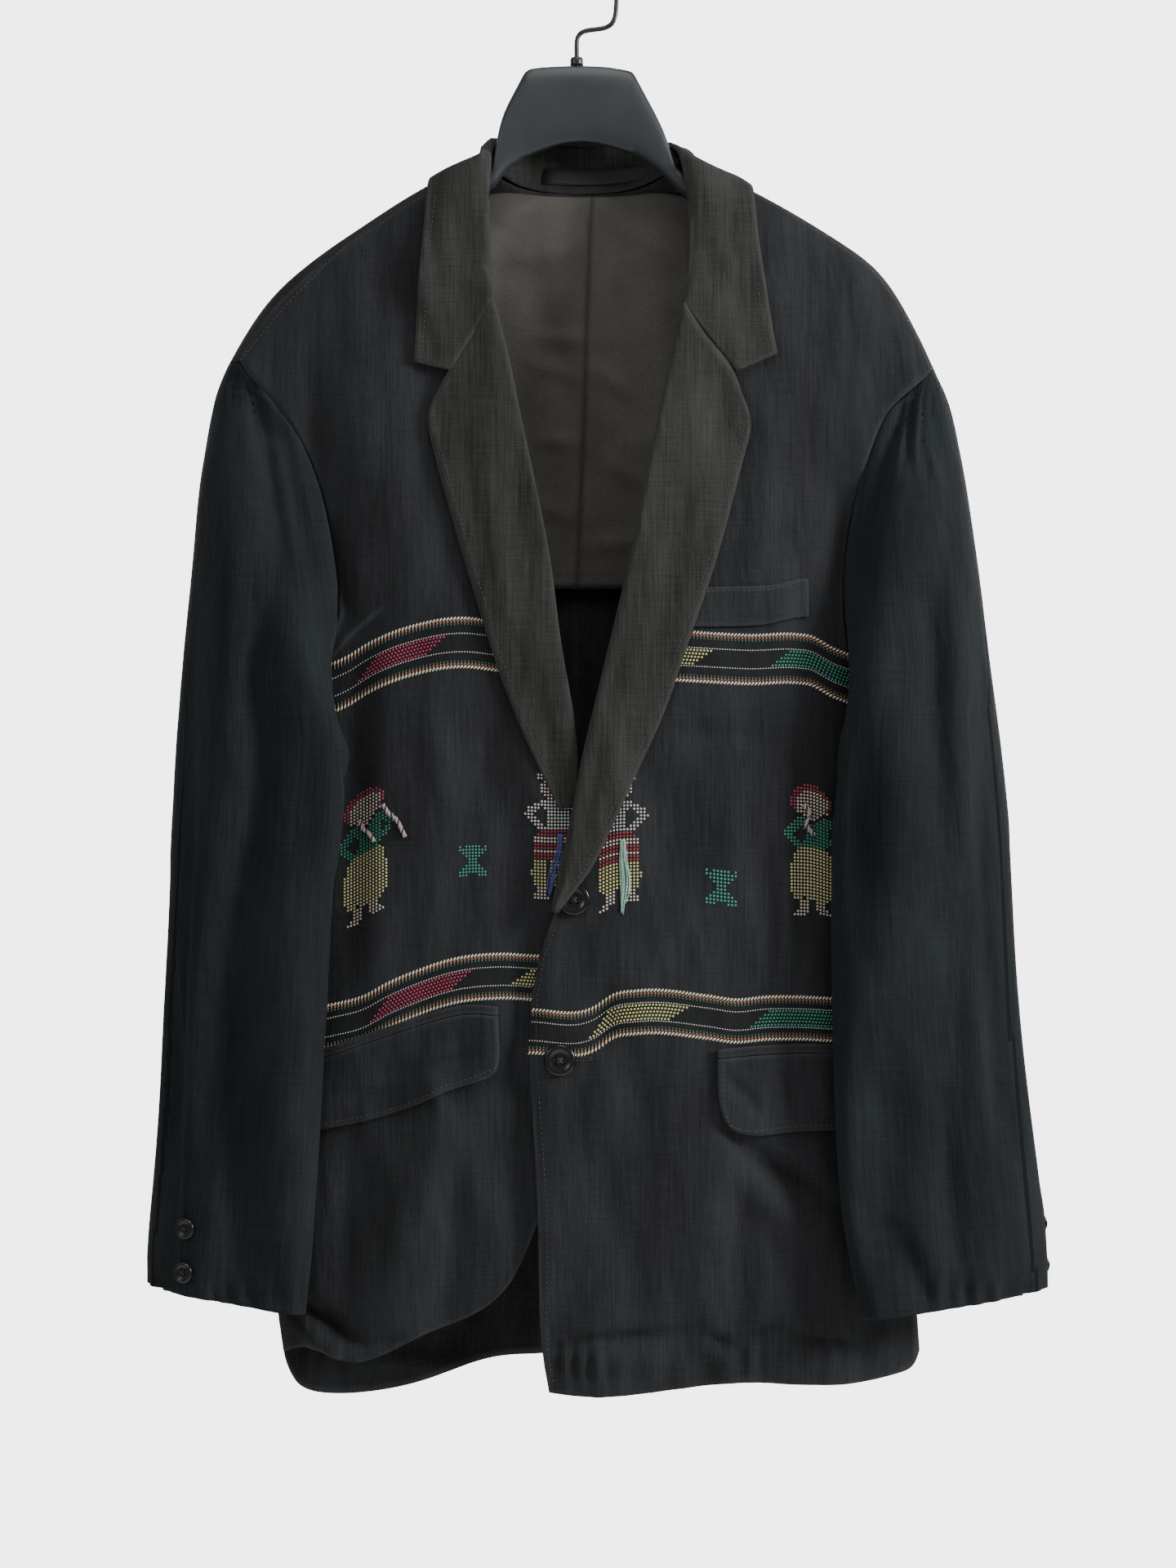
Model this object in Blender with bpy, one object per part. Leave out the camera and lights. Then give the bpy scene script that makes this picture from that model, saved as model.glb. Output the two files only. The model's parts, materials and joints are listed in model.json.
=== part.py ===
"""Tailored two-button jacket in charcoal cloth, hanging on a black suit hanger.

Sizes are in millimetres. The origin is the inside top of the hanger's hook, +X is to the right as the
jacket is looked at, -Y is its front and +Z is up. "left" and "right" in a piece's name are the wearer's,
so the left front, which laps over the other, is on the +X side.
"""

import math

import bmesh
import bpy
import numpy as np
from mathutils import Matrix, Vector

MM = 0.001

# Driving dimensions
WALL = 1.8  # shell cloth
THIN_WALL = 1.4  # flaps, lapels, collar
LINING_WALL = 1.0
SEAM_GAP = 0.3
REST_GAP = 0.8  # between a piece and the panel that it lies on
ROLL = 3.6  # how far the roll stands past the front's edge
ROLL_RISE = 5.4  # how high the lapel stands off the front just past its roll
EDGE_RISE = 3.9  # and at its outer edge
LAP_RISE = 5.2  # how far the left front stands off the right one where it laps
SHOULDER_DEPTH = 21.0  # half thickness of the cloth's arch over the hanger's arm
SHOULDER_DROP = 32.0
SECTION_POWER = 2.3  # squareness of the body seen from above
ARMPIT_DROP = 265.0  # below the shoulder line
NECK_DEPTH = 152.0  # back neck seam below the hook's inside top
BUTTON_RADIUS = 10.6
CUFF_BUTTON_RADIUS = 7.0
HOOK_WIRE = 1.9  # radius
HOOK_RADIUS = 27.0


def table(columns, *rows):
    """The rows under their named columns, as one array a column."""
    return dict(zip(columns.split(), np.array(rows, dtype=float).T))


# Shoulder line of the whole jacket, seen from the front
SHOULDER = table(
    "x z",
    (-275, -380), (-250, -310), (-234, -269), (-207, -226), (-182, -203), (-145, -177), (-97, -147), (-62, -132),
    (0, -127), (66, -132), (116, -152), (177, -187), (204, -207), (224, -238), (240, -272), (256, -310), (282, -380),
)

# Level sections of the body, by how far they lie below the shoulder line
BODY = table(
    "drop centre half_width front back",
    (0, 3, 330, 0, 0),
    (60, 3, 292, 6, 3),
    (120, 3, 236, 15, 9),
    (200, 3, 208, 22, 14),
    (265, 3, 201, 25, 17),
    (400, 6, 201, 26, 17),
    (600, 11, 211, 25, 15),
    (680, 14, 218, 24, 14),
    (740, 13, 208, 23, 14),
)

# Broad vertical folds of the shell: where each runs, its width, its rise (forward is positive)
FRONT_FOLDS = table(
    "x_top x_low width rise z_top z_low",
    (-120, -150, 30, -3.0, -560, -1000),
    (-95, -118, 26, 2.4, -640, -1000),
    (-60, -62, 30, -2.0, -760, -1000),
    (30, 44, 34, -1.6, -700, -1000),
    (95, 84, 30, 2.0, -480, -1000),
    (128, 138, 26, -2.6, -600, -1000),
    (160, 176, 22, 2.4, -640, -1000),
    (-122, -128, 18, -1.6, -330, -520),
    (130, 140, 20, -1.8, -320, -540),
)
BACK_FOLDS = table(
    "x_top x_low width rise z_top z_low",
    (-120, -140, 34, 4.0, -330, -1010),
    (-70, -84, 26, -3.0, -420, -1010),
    (62, 70, 30, -3.2, -400, -1010),
    (110, 138, 34, 4.2, -320, -1010),
    (-20, -14, 24, 2.0, -640, -1010),
    (30, 26, 26, 2.2, -700, -1010),
)

# Outline of the wearer's right side (-X), seen from the front
RIGHT = {
    "sign": -1,
    "seam_drop": (8, 18),  # of the shoulder seam in front of the ridge, at the neck and at the sleeve
    "roll": table(
        "x z",
        (-59.5, -143), (-58.3, -191), (-53, -240), (-45.4, -269), (-37.8, -307), (-26, -362), (-15.7, -415),
        (-11.9, -454), (-3.8, -497), (0, -532), (1.4, -568),
    ),
    "edge": table(
        "x z",
        (5, -592), (14, -622), (19, -660), (19, -705), (12, -745), (0, -780), (-16, -820), (-28, -852), (-37, -876),
    ),
    "hem": table(
        "x z",
        (-37, -876), (-45, -890), (-57, -902), (-71, -909), (-84, -912), (-98, -919), (-115, -928), (-126, -935),
        (-149, -942), (-160, -938), (-184, -931),
    ),
    "hem_side": -938,
    "armhole": table(
        "x z",
        (-226, -271), (-203, -298), (-185, -325), (-174, -346), (-166, -377), (-160, -412), (-156, -442), (-158, -462),
    ),
    "armpit": table("x z", (-168, -477), (-184, -484)),
    "armhole_back": table(
        "x z", (-228, -284), (-213, -306), (-197, -336), (-187, -376), (-183, -418), (-186, -452), (-193, -474)
    ),
    "gorge": table("x z", (-55, -234), (-83.2, -280.5), (-99.4, -308.6)),  # roll, notch, peak
    "lapel_edge": table(
        "x z",
        (-99.4, -308.6), (-92.3, -339.4), (-73, -407.4), (-58.9, -454), (-50.2, -482), (-31.9, -527.3), (-18.9, -554.3),
        (-11, -571),
    ),
    "collar_corner": (-107, -274.6),
}

# And of the wearer's left side (+X)
LEFT = {
    "sign": 1,
    "seam_drop": (2, 3),
    "roll": table(
        "x z",
        (72.5, -143), (76.5, -165), (75, -195), (73.4, -222), (68, -244), (61, -279.5), (50.2, -329), (43.2, -370),
        (30.8, -424), (9.7, -512), (3.8, -535), (0, -555), (-3.2, -577.5), (-8, -596.4), (-16.5, -638),
    ),
    "edge": table(
        "x z",
        (-19.5, -648), (-26.5, -669), (-29, -685.5), (-31.3, -700), (-31.3, -739), (-27.5, -793), (-24.8, -847),
        (-24.3, -922.6),
    ),
    "hem": table(
        "x z",
        (-24.3, -922.6), (-23, -935), (-20.5, -950), (-15.7, -960), (-8.6, -964.7), (6.5, -964), (30.8, -957), (54, -957),
        (93.4, -953.4), (106, -949.6), (120.4, -952.8), (143.6, -954.5), (179, -955), (204, -952),
    ),
    "hem_side": -938,
    "armhole": table(
        "x z",
        (238, -277), (216, -296), (200, -321), (189, -352), (181, -391), (176.6, -426), (176, -448), (179, -464),
    ),
    "armpit": table("x z", (186, -477), (194, -483)),
    "armhole_back": table(
        "x z", (233, -286), (219, -308), (205, -338), (196, -378), (191, -418), (192, -452), (197, -474)
    ),
    "gorge": table("x z", (70.5, -236), (105.8, -280.5), (117.2, -312.4)),
    "lapel_edge": table(
        "x z",
        (117.2, -312.4), (110, -337), (96, -391), (86.4, -423.6), (75.6, -452), (64.3, -488), (55.6, -512),
        (40, -544.6), (18.9, -591.6), (7, -615.3), (-5.9, -629), (-12.5, -639),
    ),
    "collar_corner": (132.3, -268.7),
}

BACK_HEM = table(
    "x z",
    (-204, -948), (-190, -962), (-155, -972), (-120, -968), (-98, -962), (-70, -950), (-20, -946), (40, -950), (100, -957),
    (160, -958), (200, -953), (226, -940),
)
BACK_CENTRE = table("x z", (10, -152), (7, -240), (3, -345), (0, -410), (2, -600), (4, -948))

# The collar's fold over the neck, and its outer edge, both round the neck from right to left
COLLAR_FOLD = table(
    "x y z",
    (-56.4, -34, -209), (-58.2, -28.5, -182), (-59.2, -21, -155), (-60, -8, -130), (-59.6, 5, -118), (-51, 16, -114),
    (-26, 23, -114), (4, 25, -115), (34, 23, -115), (59, 16, -116), (70, 4, -120), (73, -9, -134),
    (74.8, -21, -158), (75.3, -29.5, -185), (74, -35.5, -212),
)
COLLAR_EDGE = table(
    "x y z",
    (-103.5, -38, -222), (-101, -30, -186), (-98.5, -17, -160), (-95.6, -1, -147), (-90, 14, -147), (-72, 26, -154),
    (-36, 29, -163), (4, 30, -166), (44, 29, -163), (84, 26, -156), (106, 14, -150), (114.5, -1, -151.5),
    (117, -17, -164), (120, -28, -190), (124.5, -36, -225),
)


def smooth_at(rows, key, at, by="x"):
    """A column of a table at other places, on a smooth curve that never overshoots its rows."""
    x, y = rows[by], rows[key]
    at = np.clip(np.asarray(at, dtype=float), x[0], x[-1])
    slope = np.diff(y) / np.diff(x)
    with np.errstate(divide="ignore", invalid="ignore"):
        inner = np.where(slope[1:] * slope[:-1] > 0, 2 * slope[1:] * slope[:-1] / (slope[1:] + slope[:-1]), 0)
    tangent = np.concatenate([slope[:1], inner, slope[-1:]])
    i = np.clip(np.searchsorted(x, at) - 1, 0, len(x) - 2)
    step = x[i + 1] - x[i]
    t = (at - x[i]) / step
    return (
        y[i] * (1 + 2 * t) * (1 - t) ** 2
        + y[i + 1] * t**2 * (3 - 2 * t)
        + step * (tangent[i] * t * (1 - t) ** 2 - tangent[i + 1] * t**2 * (1 - t))
    )


def ease(t):
    """A soft step from 0 to 1 as t runs from 0 to 1."""
    t = np.clip(t, 0, 1)
    return t * t * (3 - 2 * t)


def points(rows, columns="x z"):
    """The named columns of a table as an array of points."""
    return np.stack([rows[c] for c in columns.split()], axis=1)


def through(path, fractions, smooth=True):
    """Places at these fractions of the length of a curve through the path's points."""
    path = np.asarray(path, dtype=float)
    if smooth and len(path) > 2:
        ends = np.vstack([2 * path[0] - path[1], path, 2 * path[-1] - path[-2]])
        t = np.linspace(0, 1, 9)[:-1, None]
        dense = [
            0.5 * ((2 * b) + (c - a) * t + (2 * a - 5 * b + 4 * c - d) * t**2 + (3 * b - a - 3 * c + d) * t**3)
            for a, b, c, d in zip(ends, ends[1:], ends[2:], ends[3:])
        ]
        path = np.vstack(dense + [path[-1:]])
    length = np.concatenate([[0], np.cumsum(np.linalg.norm(np.diff(path, axis=0), axis=1))])
    at = np.asarray(fractions) * length[-1]
    return np.stack([np.interp(at, length, path[:, k]) for k in range(path.shape[1])], axis=1)


def unit(v):
    """A vector at length 1."""
    return v / np.maximum(np.linalg.norm(v, axis=-1, keepdims=True), 1e-9)


# The body's form. A place on it is an angle round the body, 0 at the middle and a quarter turn at the side,
# and a way down from the shoulder line over the cloth's arch there, negative in front and positive behind.

ARCH_RADIUS = SHOULDER_DEPTH**2 / SHOULDER_DROP  # of the cloth's arch at the shoulder line


def shoulder_z(x):
    """Height of the shoulder line at a place across the jacket."""
    return smooth_at(SHOULDER, "z", x)


def way_down(drop):
    """The way from the shoulder line to this far below it: round the arch at first, then straight down."""
    return np.sqrt((np.abs(drop) + ARCH_RADIUS) ** 2 - ARCH_RADIUS**2)


def drop_below(way):
    """How far the shoulder line has fallen at a place along it."""
    return np.sqrt(way**2 + ARCH_RADIUS**2) - ARCH_RADIUS


def body_size(drop, key):
    """One size of the body at a drop below the shoulder line."""
    return smooth_at(BODY, key, np.abs(drop), by="drop")


def folds(rows, x, z):
    """How far the cloth's broad folds bring it forward at a place seen from the front."""
    rise = np.zeros(np.broadcast(x, z).shape)
    for x_top, x_low, width, height, z_top, z_low in zip(*rows.values()):
        down = np.clip((z_top - z) / (z_top - z_low), 0, 1)
        middle = x_top + (x_low - x_top) * down
        rise = rise + height * ease(down * 2.2) * np.exp(-(((x - middle) / width) ** 2) * 2)
    return rise


def body_depth(drop, front):
    """How far the cloth is from the shoulder line's plane at the middle of the body."""
    drop = np.abs(drop)
    arch = np.sqrt(1 - (1 - np.clip(drop / SHOULDER_DROP, 0, 1)) ** 2)
    return SHOULDER_DEPTH * arch + np.where(front, body_size(drop, "front"), body_size(drop, "back"))


def on_body(place):
    """Points in space for places given as an angle and a way down."""
    angle, way = place[..., 0], place[..., 1]
    across, drop = np.sin(angle), drop_below(way)
    x = body_size(drop, "centre") + body_size(drop, "half_width") * across
    z = shoulder_z(x) - drop
    round_off = np.maximum(1 - np.abs(across) ** SECTION_POWER, 0) ** (1 / SECTION_POWER)
    front = way < 0
    y = np.where(front, -1, 1) * body_depth(drop, front) * round_off
    y = y - np.where(front, folds(FRONT_FOLDS, x, z), -folds(BACK_FOLDS, x, z)) * round_off
    return np.stack([x, y, z], axis=-1)


def to_body(xz, face=-1):
    """The places on the front (-1) or the back (1) that are seen at these points from the front."""
    x, z = xz[..., 0], xz[..., 1]
    drop = shoulder_z(x) - z
    across = (x - body_size(drop, "centre")) / body_size(drop, "half_width")
    return np.stack([np.arcsin(np.clip(across, -1, 1)), face * way_down(np.maximum(drop, 0))], axis=-1)


def body_normal(place):
    """The way out of the body at a place, from its neighbours."""
    turn, slip = np.array([0.01, 0.0]), np.array([0.0, 0.6])
    along = on_body(place + turn) - on_body(place - turn)
    down = on_body(place + slip) - on_body(place - slip)
    normal = unit(np.cross(along, down))
    return normal


def lap(side, x):
    """How far a front stands off the body where it laps over the other one."""
    return LAP_RISE * ease((74 - x) / 58) if side["sign"] > 0 else 0 * x


def on_front(side, xz, rise=0.0):
    """Points over a front at places seen from the front, this far off the middle of its cloth."""
    place = to_body(np.asarray(xz, dtype=float))
    point = on_body(place)
    rise = np.asarray(rise) + lap(side, point[..., 0])
    return point + body_normal(place) * rise[..., None]


def outside(point, clear):
    """The points, brought out of the body where they are nearer to its cloth than this."""
    x, y, z = point[..., 0], point[..., 1], point[..., 2]
    drop = np.maximum(shoulder_z(x) - z, 0)
    reach = body_size(drop, "half_width") + clear
    deep = body_depth(drop, y < 0) + clear
    offset = np.stack([x - body_size(drop, "centre"), y], axis=-1)
    size = np.stack([reach, deep], axis=-1)
    for _ in range(6):
        share = np.abs(offset) / size
        inside = 1 - np.sum(share**SECTION_POWER, axis=-1, keepdims=True)
        slope = SECTION_POWER * np.sign(offset) * share ** (SECTION_POWER - 1) / size
        step = np.maximum(inside, 0) / np.maximum(np.sum(slope**2, axis=-1, keepdims=True), 1e-6)
        offset = offset + slope * step
    return np.stack([offset[..., 0] + body_size(drop, "centre"), offset[..., 1], z], axis=-1)


def above_body(sheet, rise):
    """The sheet's points, moved straight out of the body where they are nearer to it than this."""
    x, y, z = sheet[..., 0], sheet[..., 1], sheet[..., 2]
    place = to_body(np.stack([x, z], axis=-1))
    way = np.maximum(np.abs(place[..., 1]), np.abs(y))
    place = np.stack([place[..., 0], np.where(y < 0, -way, way)], axis=-1)
    seat, normal = on_body(place), body_normal(place)
    apart = np.sum((sheet - seat) * normal, axis=-1, keepdims=True)
    return seat + normal * np.maximum(apart, rise)


# Cloth: a sheet of points, given its thickness


def sheet_normals(sheet):
    """Outward directions at every point of a sheet."""
    return unit(np.cross(np.gradient(sheet, axis=1), np.gradient(sheet, axis=0)))


def part_edges(sheet, edges, gap=SEAM_GAP / 2):
    """The sheet, drawn back by half a seam's gap along the named edges."""
    sheet = sheet.copy()
    if "top" in edges:
        sheet[0] += unit(sheet[1] - sheet[0]) * gap
    if "bottom" in edges:
        sheet[-1] += unit(sheet[-2] - sheet[-1]) * gap
    if "first" in edges:
        sheet[:, 0] += unit(sheet[:, 1] - sheet[:, 0]) * gap
    if "last" in edges:
        sheet[:, -1] += unit(sheet[:, -2] - sheet[:, -1]) * gap
    return sheet


def material(name, colour, roughness, metallic=0.0):
    """A named base colour, made once."""
    made = bpy.data.materials.get(name) or bpy.data.materials.new(name)
    made.use_nodes = True
    shader = made.node_tree.nodes["Principled BSDF"]
    shader.inputs["Base Color"].default_value = (*colour, 1.0)
    shader.inputs["Roughness"].default_value = roughness
    shader.inputs["Metallic"].default_value = metallic
    return made


FRONT_CLOTH = ("charcoal cloth", (0.042, 0.042, 0.046), 0.9)
COLLAR_CLOTH = ("warm charcoal cloth", (0.06, 0.062, 0.055), 0.9)
SLEEVE_CLOTH = ("green black cloth", (0.012, 0.019, 0.021), 0.9)
LINING_CLOTH = ("lining", (0.075, 0.072, 0.066), 0.85)
LABEL_CLOTH = ("label satin", (0.01, 0.01, 0.012), 0.5)
BUTTON_RESIN = ("button resin", (0.012, 0.012, 0.012), 0.35)
HANGER_PLASTIC = ("hanger plastic", (0.02, 0.022, 0.025), 0.45)
HOOK_STEEL = ("blackened steel", (0.05, 0.05, 0.05), 0.4, 1.0)


def finish(bm, name, finish_of, smooth=True):
    """An object of that name from a closed mesh in millimetres."""
    bmesh.ops.recalc_face_normals(bm, faces=bm.faces)
    if bm.calc_volume(signed=True) < 0:
        bmesh.ops.reverse_faces(bm, faces=bm.faces)
    mesh = bpy.data.meshes.new(name)
    bm.to_mesh(mesh)
    bm.free()
    mesh.transform(Matrix.Scale(MM, 4))
    if smooth:
        mesh.shade_smooth()
        mesh.set_sharp_from_angle(angle=math.radians(50))
    mesh.materials.append(material(*finish_of))
    made = bpy.data.objects.new(name, mesh)
    bpy.context.scene.collection.objects.link(made)
    return made


def cloth(name, sheet, normals, wall, finish_of):
    """A wall of this thickness whose middle is the sheet."""
    rows, columns = sheet.shape[:2]
    bm = bmesh.new()
    bmesh.ops.create_grid(bm, x_segments=columns - 1, y_segments=rows - 1, size=1)
    bm.verts.ensure_lookup_table()
    number = bm.verts.layers.int.new("number")
    for i, vert in enumerate(bm.verts):
        vert[number] = i
    face = (sheet + normals * wall / 2).reshape(-1, 3)
    back = (sheet - normals * wall / 2).reshape(-1, 3)
    grown = bmesh.ops.extrude_face_region(bm, geom=bm.faces[:])
    new = {e for e in grown["geom"] if isinstance(e, bmesh.types.BMVert)}
    for vert in bm.verts:
        vert.co = Vector(back[vert[number]] if vert in new else face[vert[number]])
    return finish(bm, name, finish_of)


def patch(top, bottom, first, last):
    """A sheet that fills four edges: the top and the bottom run along it, the first and the last down it."""
    u = np.linspace(0, 1, len(top))[None, :, None]
    v = np.linspace(0, 1, len(first))[:, None, None]
    corners = (
        (1 - u) * (1 - v) * top[0] + u * (1 - v) * top[-1] + (1 - u) * v * bottom[0] + u * v * bottom[-1]
    )
    return (1 - v) * top[None] + v * bottom[None] + (1 - u) * first[:, None] + u * last[:, None] - corners


# Body panels. Rows run down a panel, and both panels at a seam have the same rows there.

ANGLE_LENGTH = 200.0  # millimetres round the body to a radian, so that lengths along an edge are near the real ones
ARMHOLE_ROWS = np.array([0, 0.03, 0.08, 0.15, 0.24, 0.33, 0.42, 0.52, 0.62, 0.72, 0.82, 0.91, 1])
ARMHOLE_BACK_ROWS = np.array([0, 0.03, 0.06, 0.09, 0.14, 0.21, 0.3, 0.4, 0.51, 0.62, 0.73, 0.84, 0.93, 1])
SIDE_ROWS = np.linspace(0, 1, 12)
SHOULDER_COLUMNS = np.linspace(0, 1, 13)
NECK_COLUMNS = np.linspace(0, 1, 6)
ARMPIT_SHARE = 0.43  # of the length from neck to hem that lies above the armpit


def flat(place):
    """A place on the front, laid flat."""
    return place * np.array([ANGLE_LENGTH, 1.0])


def unflat(place):
    """A flat place, back on the front."""
    return place / np.array([ANGLE_LENGTH, 1.0])


def perpendicular(path, sign):
    """Level unit vectors square to a path seen from the front, away from the jacket's middle."""
    along = unit(np.gradient(path, axis=0))
    across = np.stack([along[:, 1], -along[:, 0]], axis=1)
    return across * np.where(across[:, :1] * sign > 0, 1, -1)


def roll_path(side):
    """The line along which the front turns over into the lapel."""
    return points(side["roll"])


def neck_point(side):
    """Where the shoulder seam meets the neck, seen from the front."""
    x = roll_path(side)[0, 0] + side["sign"] * ROLL
    return np.array([x, shoulder_z(x) - side["seam_drop"][0]])


def front_edge(side, fractions):
    """The inner edge of a front, from the neck down behind the roll to the hem."""
    roll = roll_path(side)
    behind = roll + perpendicular(roll, side["sign"]) * ROLL
    return through(np.vstack([neck_point(side)[None], behind, points(side["edge"])]), fractions)


def side_place(side, z, face):
    """The side seam's place at a height."""
    x = side["sign"] * 205.0
    for _ in range(12):
        drop = shoulder_z(x) - z
        x = body_size(drop, "centre") + side["sign"] * body_size(drop, "half_width")
    return np.array([side["sign"] * math.pi / 2, face * way_down(drop)])


def side_seam(side, face):
    """The side seam of one face, as places down it."""
    armpit = np.array([side["sign"] * math.pi / 2, face * way_down(ARMPIT_DROP)])
    low = side_place(side, side["hem_side"], face)
    return armpit + SIDE_ROWS[1:, None] * (low - armpit)


def armhole_front(side):
    """The front's edge round the armhole."""
    path = flat(to_body(np.vstack([points(side["armhole"]), points(side["armpit"])])))
    armpit = [side["sign"] * math.pi / 2 * ANGLE_LENGTH, -way_down(ARMPIT_DROP)]
    return unflat(through(np.vstack([path, armpit]), ARMHOLE_ROWS))


def armhole_back(side):
    """The back's edge round the armhole."""
    seam = to_body(points(side["armhole"])[:1])
    behind = to_body(points(side["armhole_back"]), face=1)
    ridge = (seam + behind[:1]) / 2 * np.array([1.0, 0.0])
    armpit = np.array([[side["sign"] * math.pi / 2, way_down(ARMPIT_DROP)]])
    return unflat(through(flat(np.vstack([seam, ridge, behind, armpit])), ARMHOLE_BACK_ROWS))


def shoulder_seam(side):
    """The seam along the shoulder."""
    neck = to_body(neck_point(side)[None])[0]
    sleeve = to_body(points(side["armhole"])[:1])[0]
    return neck + SHOULDER_COLUMNS[:, None] * (sleeve - neck)


def front_places(side):
    """Rows of places over one front."""
    outer = np.vstack([armhole_front(side), side_seam(side, -1)])
    down = np.concatenate([ARMHOLE_ROWS * ARMPIT_SHARE, ARMPIT_SHARE + (1 - ARMPIT_SHARE) * SIDE_ROWS[1:]])
    inner = to_body(front_edge(side, down))
    hem = np.vstack([flat(to_body(points(side["hem"]))), flat(side_place(side, side["hem_side"], -1))[None]])
    hem = unflat(through(hem, SHOULDER_COLUMNS))
    hem[0] = inner[-1]
    return patch(shoulder_seam(side), hem, inner, outer)


def neck_seam(side):
    """The back's neck edge, from the centre seam round to the shoulder seam."""
    middle = 2 + side["sign"] * np.array([12.0, 30.0, 46.0, 56.0, 61.5])
    height = -NECK_DEPTH + np.array([0, 0.8, 3.6, 9.5, 15.5])
    centre = [[BACK_CENTRE["x"][0], -NECK_DEPTH - 0.3]]
    behind = to_body(np.vstack([centre, np.stack([middle, height], axis=1)[side["sign"] > 0 :]]), face=1)
    neck = to_body(neck_point(side)[None])
    over = neck * np.array([[1.0, 0.0]])
    return unflat(through(flat(np.vstack([behind, over, neck])), NECK_COLUMNS))


def back_places(side):
    """Rows of places over one half of the back."""
    top = np.vstack([neck_seam(side)[:-1], shoulder_seam(side)])
    outer = np.vstack([armhole_back(side), side_seam(side, 1)])
    share = np.concatenate([ARMHOLE_BACK_ROWS * ARMPIT_SHARE, ARMPIT_SHARE + (1 - ARMPIT_SHARE) * SIDE_ROWS[1:]])
    low = BACK_HEM["z"][6]
    z = -NECK_DEPTH - 0.3 + share * (low + NECK_DEPTH + 0.3)
    x = np.interp(-z, -BACK_CENTRE["z"], BACK_CENTRE["x"])
    inner = to_body(np.stack([x, z], axis=1), face=1)
    hem = points(BACK_HEM)
    hem = hem[(hem[:, 0] - x[-1]) * side["sign"] > 5][:: side["sign"]]
    hem = np.vstack([flat(inner[-1:]), flat(to_body(hem, face=1)), flat(outer[-1:])])
    return patch(top, unflat(through(hem, np.linspace(0, 1, len(top)))), inner, outer)


def body_cloth(name, places, edges, lifted=None):
    """One cut piece of the body's cloth, made from its rows of places."""
    sheet, normals = on_body(places), body_normal(places)
    if lifted:
        sheet = sheet + normals * lap(lifted, sheet[..., 0])[..., None]
    return cloth(name, part_edges(sheet, edges), normals, WALL, FRONT_CLOTH)


# Sleeves. Rings run down a sleeve from its armhole, from the outer edge (o) to the inner edge (i).

SLEEVE_COLUMNS = "at xo zo yo xi zi yi thick"
RIGHT["sleeve"] = table(
    SLEEVE_COLUMNS,
    (0, -234, -269, 0, -198, -484, 0, 22),
    (0.04, -240, -290, 1, -186, -493, -16, 34),
    (0.08, -246, -312, 0, -166, -505, -36, 36),
    (0.13, -252, -340, -3, -153, -524, -46, 36),
    (0.19, -255, -378, -6, -151, -536, -49, 34),
    (0.26, -258, -420, -9, -152, -548, -50, 31),
    (0.34, -263, -468, -11, -154, -562, -51, 28),
    (0.45, -269, -550, -13, -158, -608, -52, 25),
    (0.57, -273, -631, -14, -163, -665, -53, 24),
    (0.69, -278.6, -712, -15, -165, -735, -54, 23),
    (0.81, -281, -793, -16, -169, -805, -54, 22),
    (0.92, -287, -855, -17, -174, -868, -54, 22),
    (1, -287, -888, -18, -178.5, -904, -54, 22),
)
LEFT["sleeve"] = table(
    SLEEVE_COLUMNS,
    (0, 240, -272, 0, 204, -484, 0, 22),
    (0.04, 246, -290, 1, 198, -493, -16, 34),
    (0.08, 252, -312, 0, 184, -505, -36, 36),
    (0.13, 259, -338, -3, 174, -524, -46, 36),
    (0.19, 264, -374, -6, 172, -536, -49, 34),
    (0.26, 270, -418, -9, 172, -548, -52, 32),
    (0.34, 276, -478, -11, 171, -562, -54, 29),
    (0.45, 287, -560, -13, 170, -608, -55, 26),
    (0.57, 293, -645, -14, 169.6, -665, -57, 25),
    (0.69, 299, -722, -15, 170.5, -735, -58, 24),
    (0.81, 307, -795, -16, 172, -805, -58, 23),
    (0.92, 314, -862, -17, 179, -872, -58, 22),
    (1, 314, -891, -18, 187.5, -907, -58, 22),
)
SLEEVE_FOLDS = table(
    "turn width rise at_top at_low",
    (112, 20, -5.0, 0.5, 1.3),
    (72, 18, 2.6, 0.3, 1.3),
    (150, 16, 2.4, 0.5, 1.3),
    (48, 14, -2.6, 0.1, 0.9),
    (95, 15, -2.4, 0.04, 0.45),
    (130, 14, 2.6, 0.06, 0.6),
    (245, 20, -4.0, 0.2, 1.3),
    (285, 18, 3.0, 0.1, 1.3),
)
RIGHT["twist"], LEFT["twist"] = 85.0, 14.0  # how far the sleeve's seams turn to the front on the way down
SLEEVE_RINGS = np.array([0, 0.025, 0.05, 0.08, 0.11, 0.15, 0.2, 0.26, 0.33, 0.41, 0.5, 0.59, 0.68, 0.77, 0.85, 0.93, 1])
FRONT_SEAM_COLUMN = 12  # of the sleeve, counted from the shoulder seam down the front of the armhole
BACK_SEAM_COLUMN = 21
SLEEVE_POWER = 2.3
INNER_ROW = 0.8  # of the armhole's front, where the sleeve's inner edge hangs from it
ARMPIT_TURN = 227  # degrees round the sleeve from its outer edge to the armpit, by way of the front
CAP_END = 0.15  # where the sleeve hangs free of its armhole, as a share of its length
CAP_PUFF = 0.3  # how strongly the cap leaves the seam along the body's normal
LEAST_CLEAR = 5.0  # between the body and the middle of the sleeve's cloth
SLEEVE_CLEAR = 9.0
SLEEVE_SEAM = 0.8  # the gap at the seams down a sleeve, which turn sharply under the arm
LAP_GAP = 1.2  # between the sleeve and the body under the arm


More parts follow.
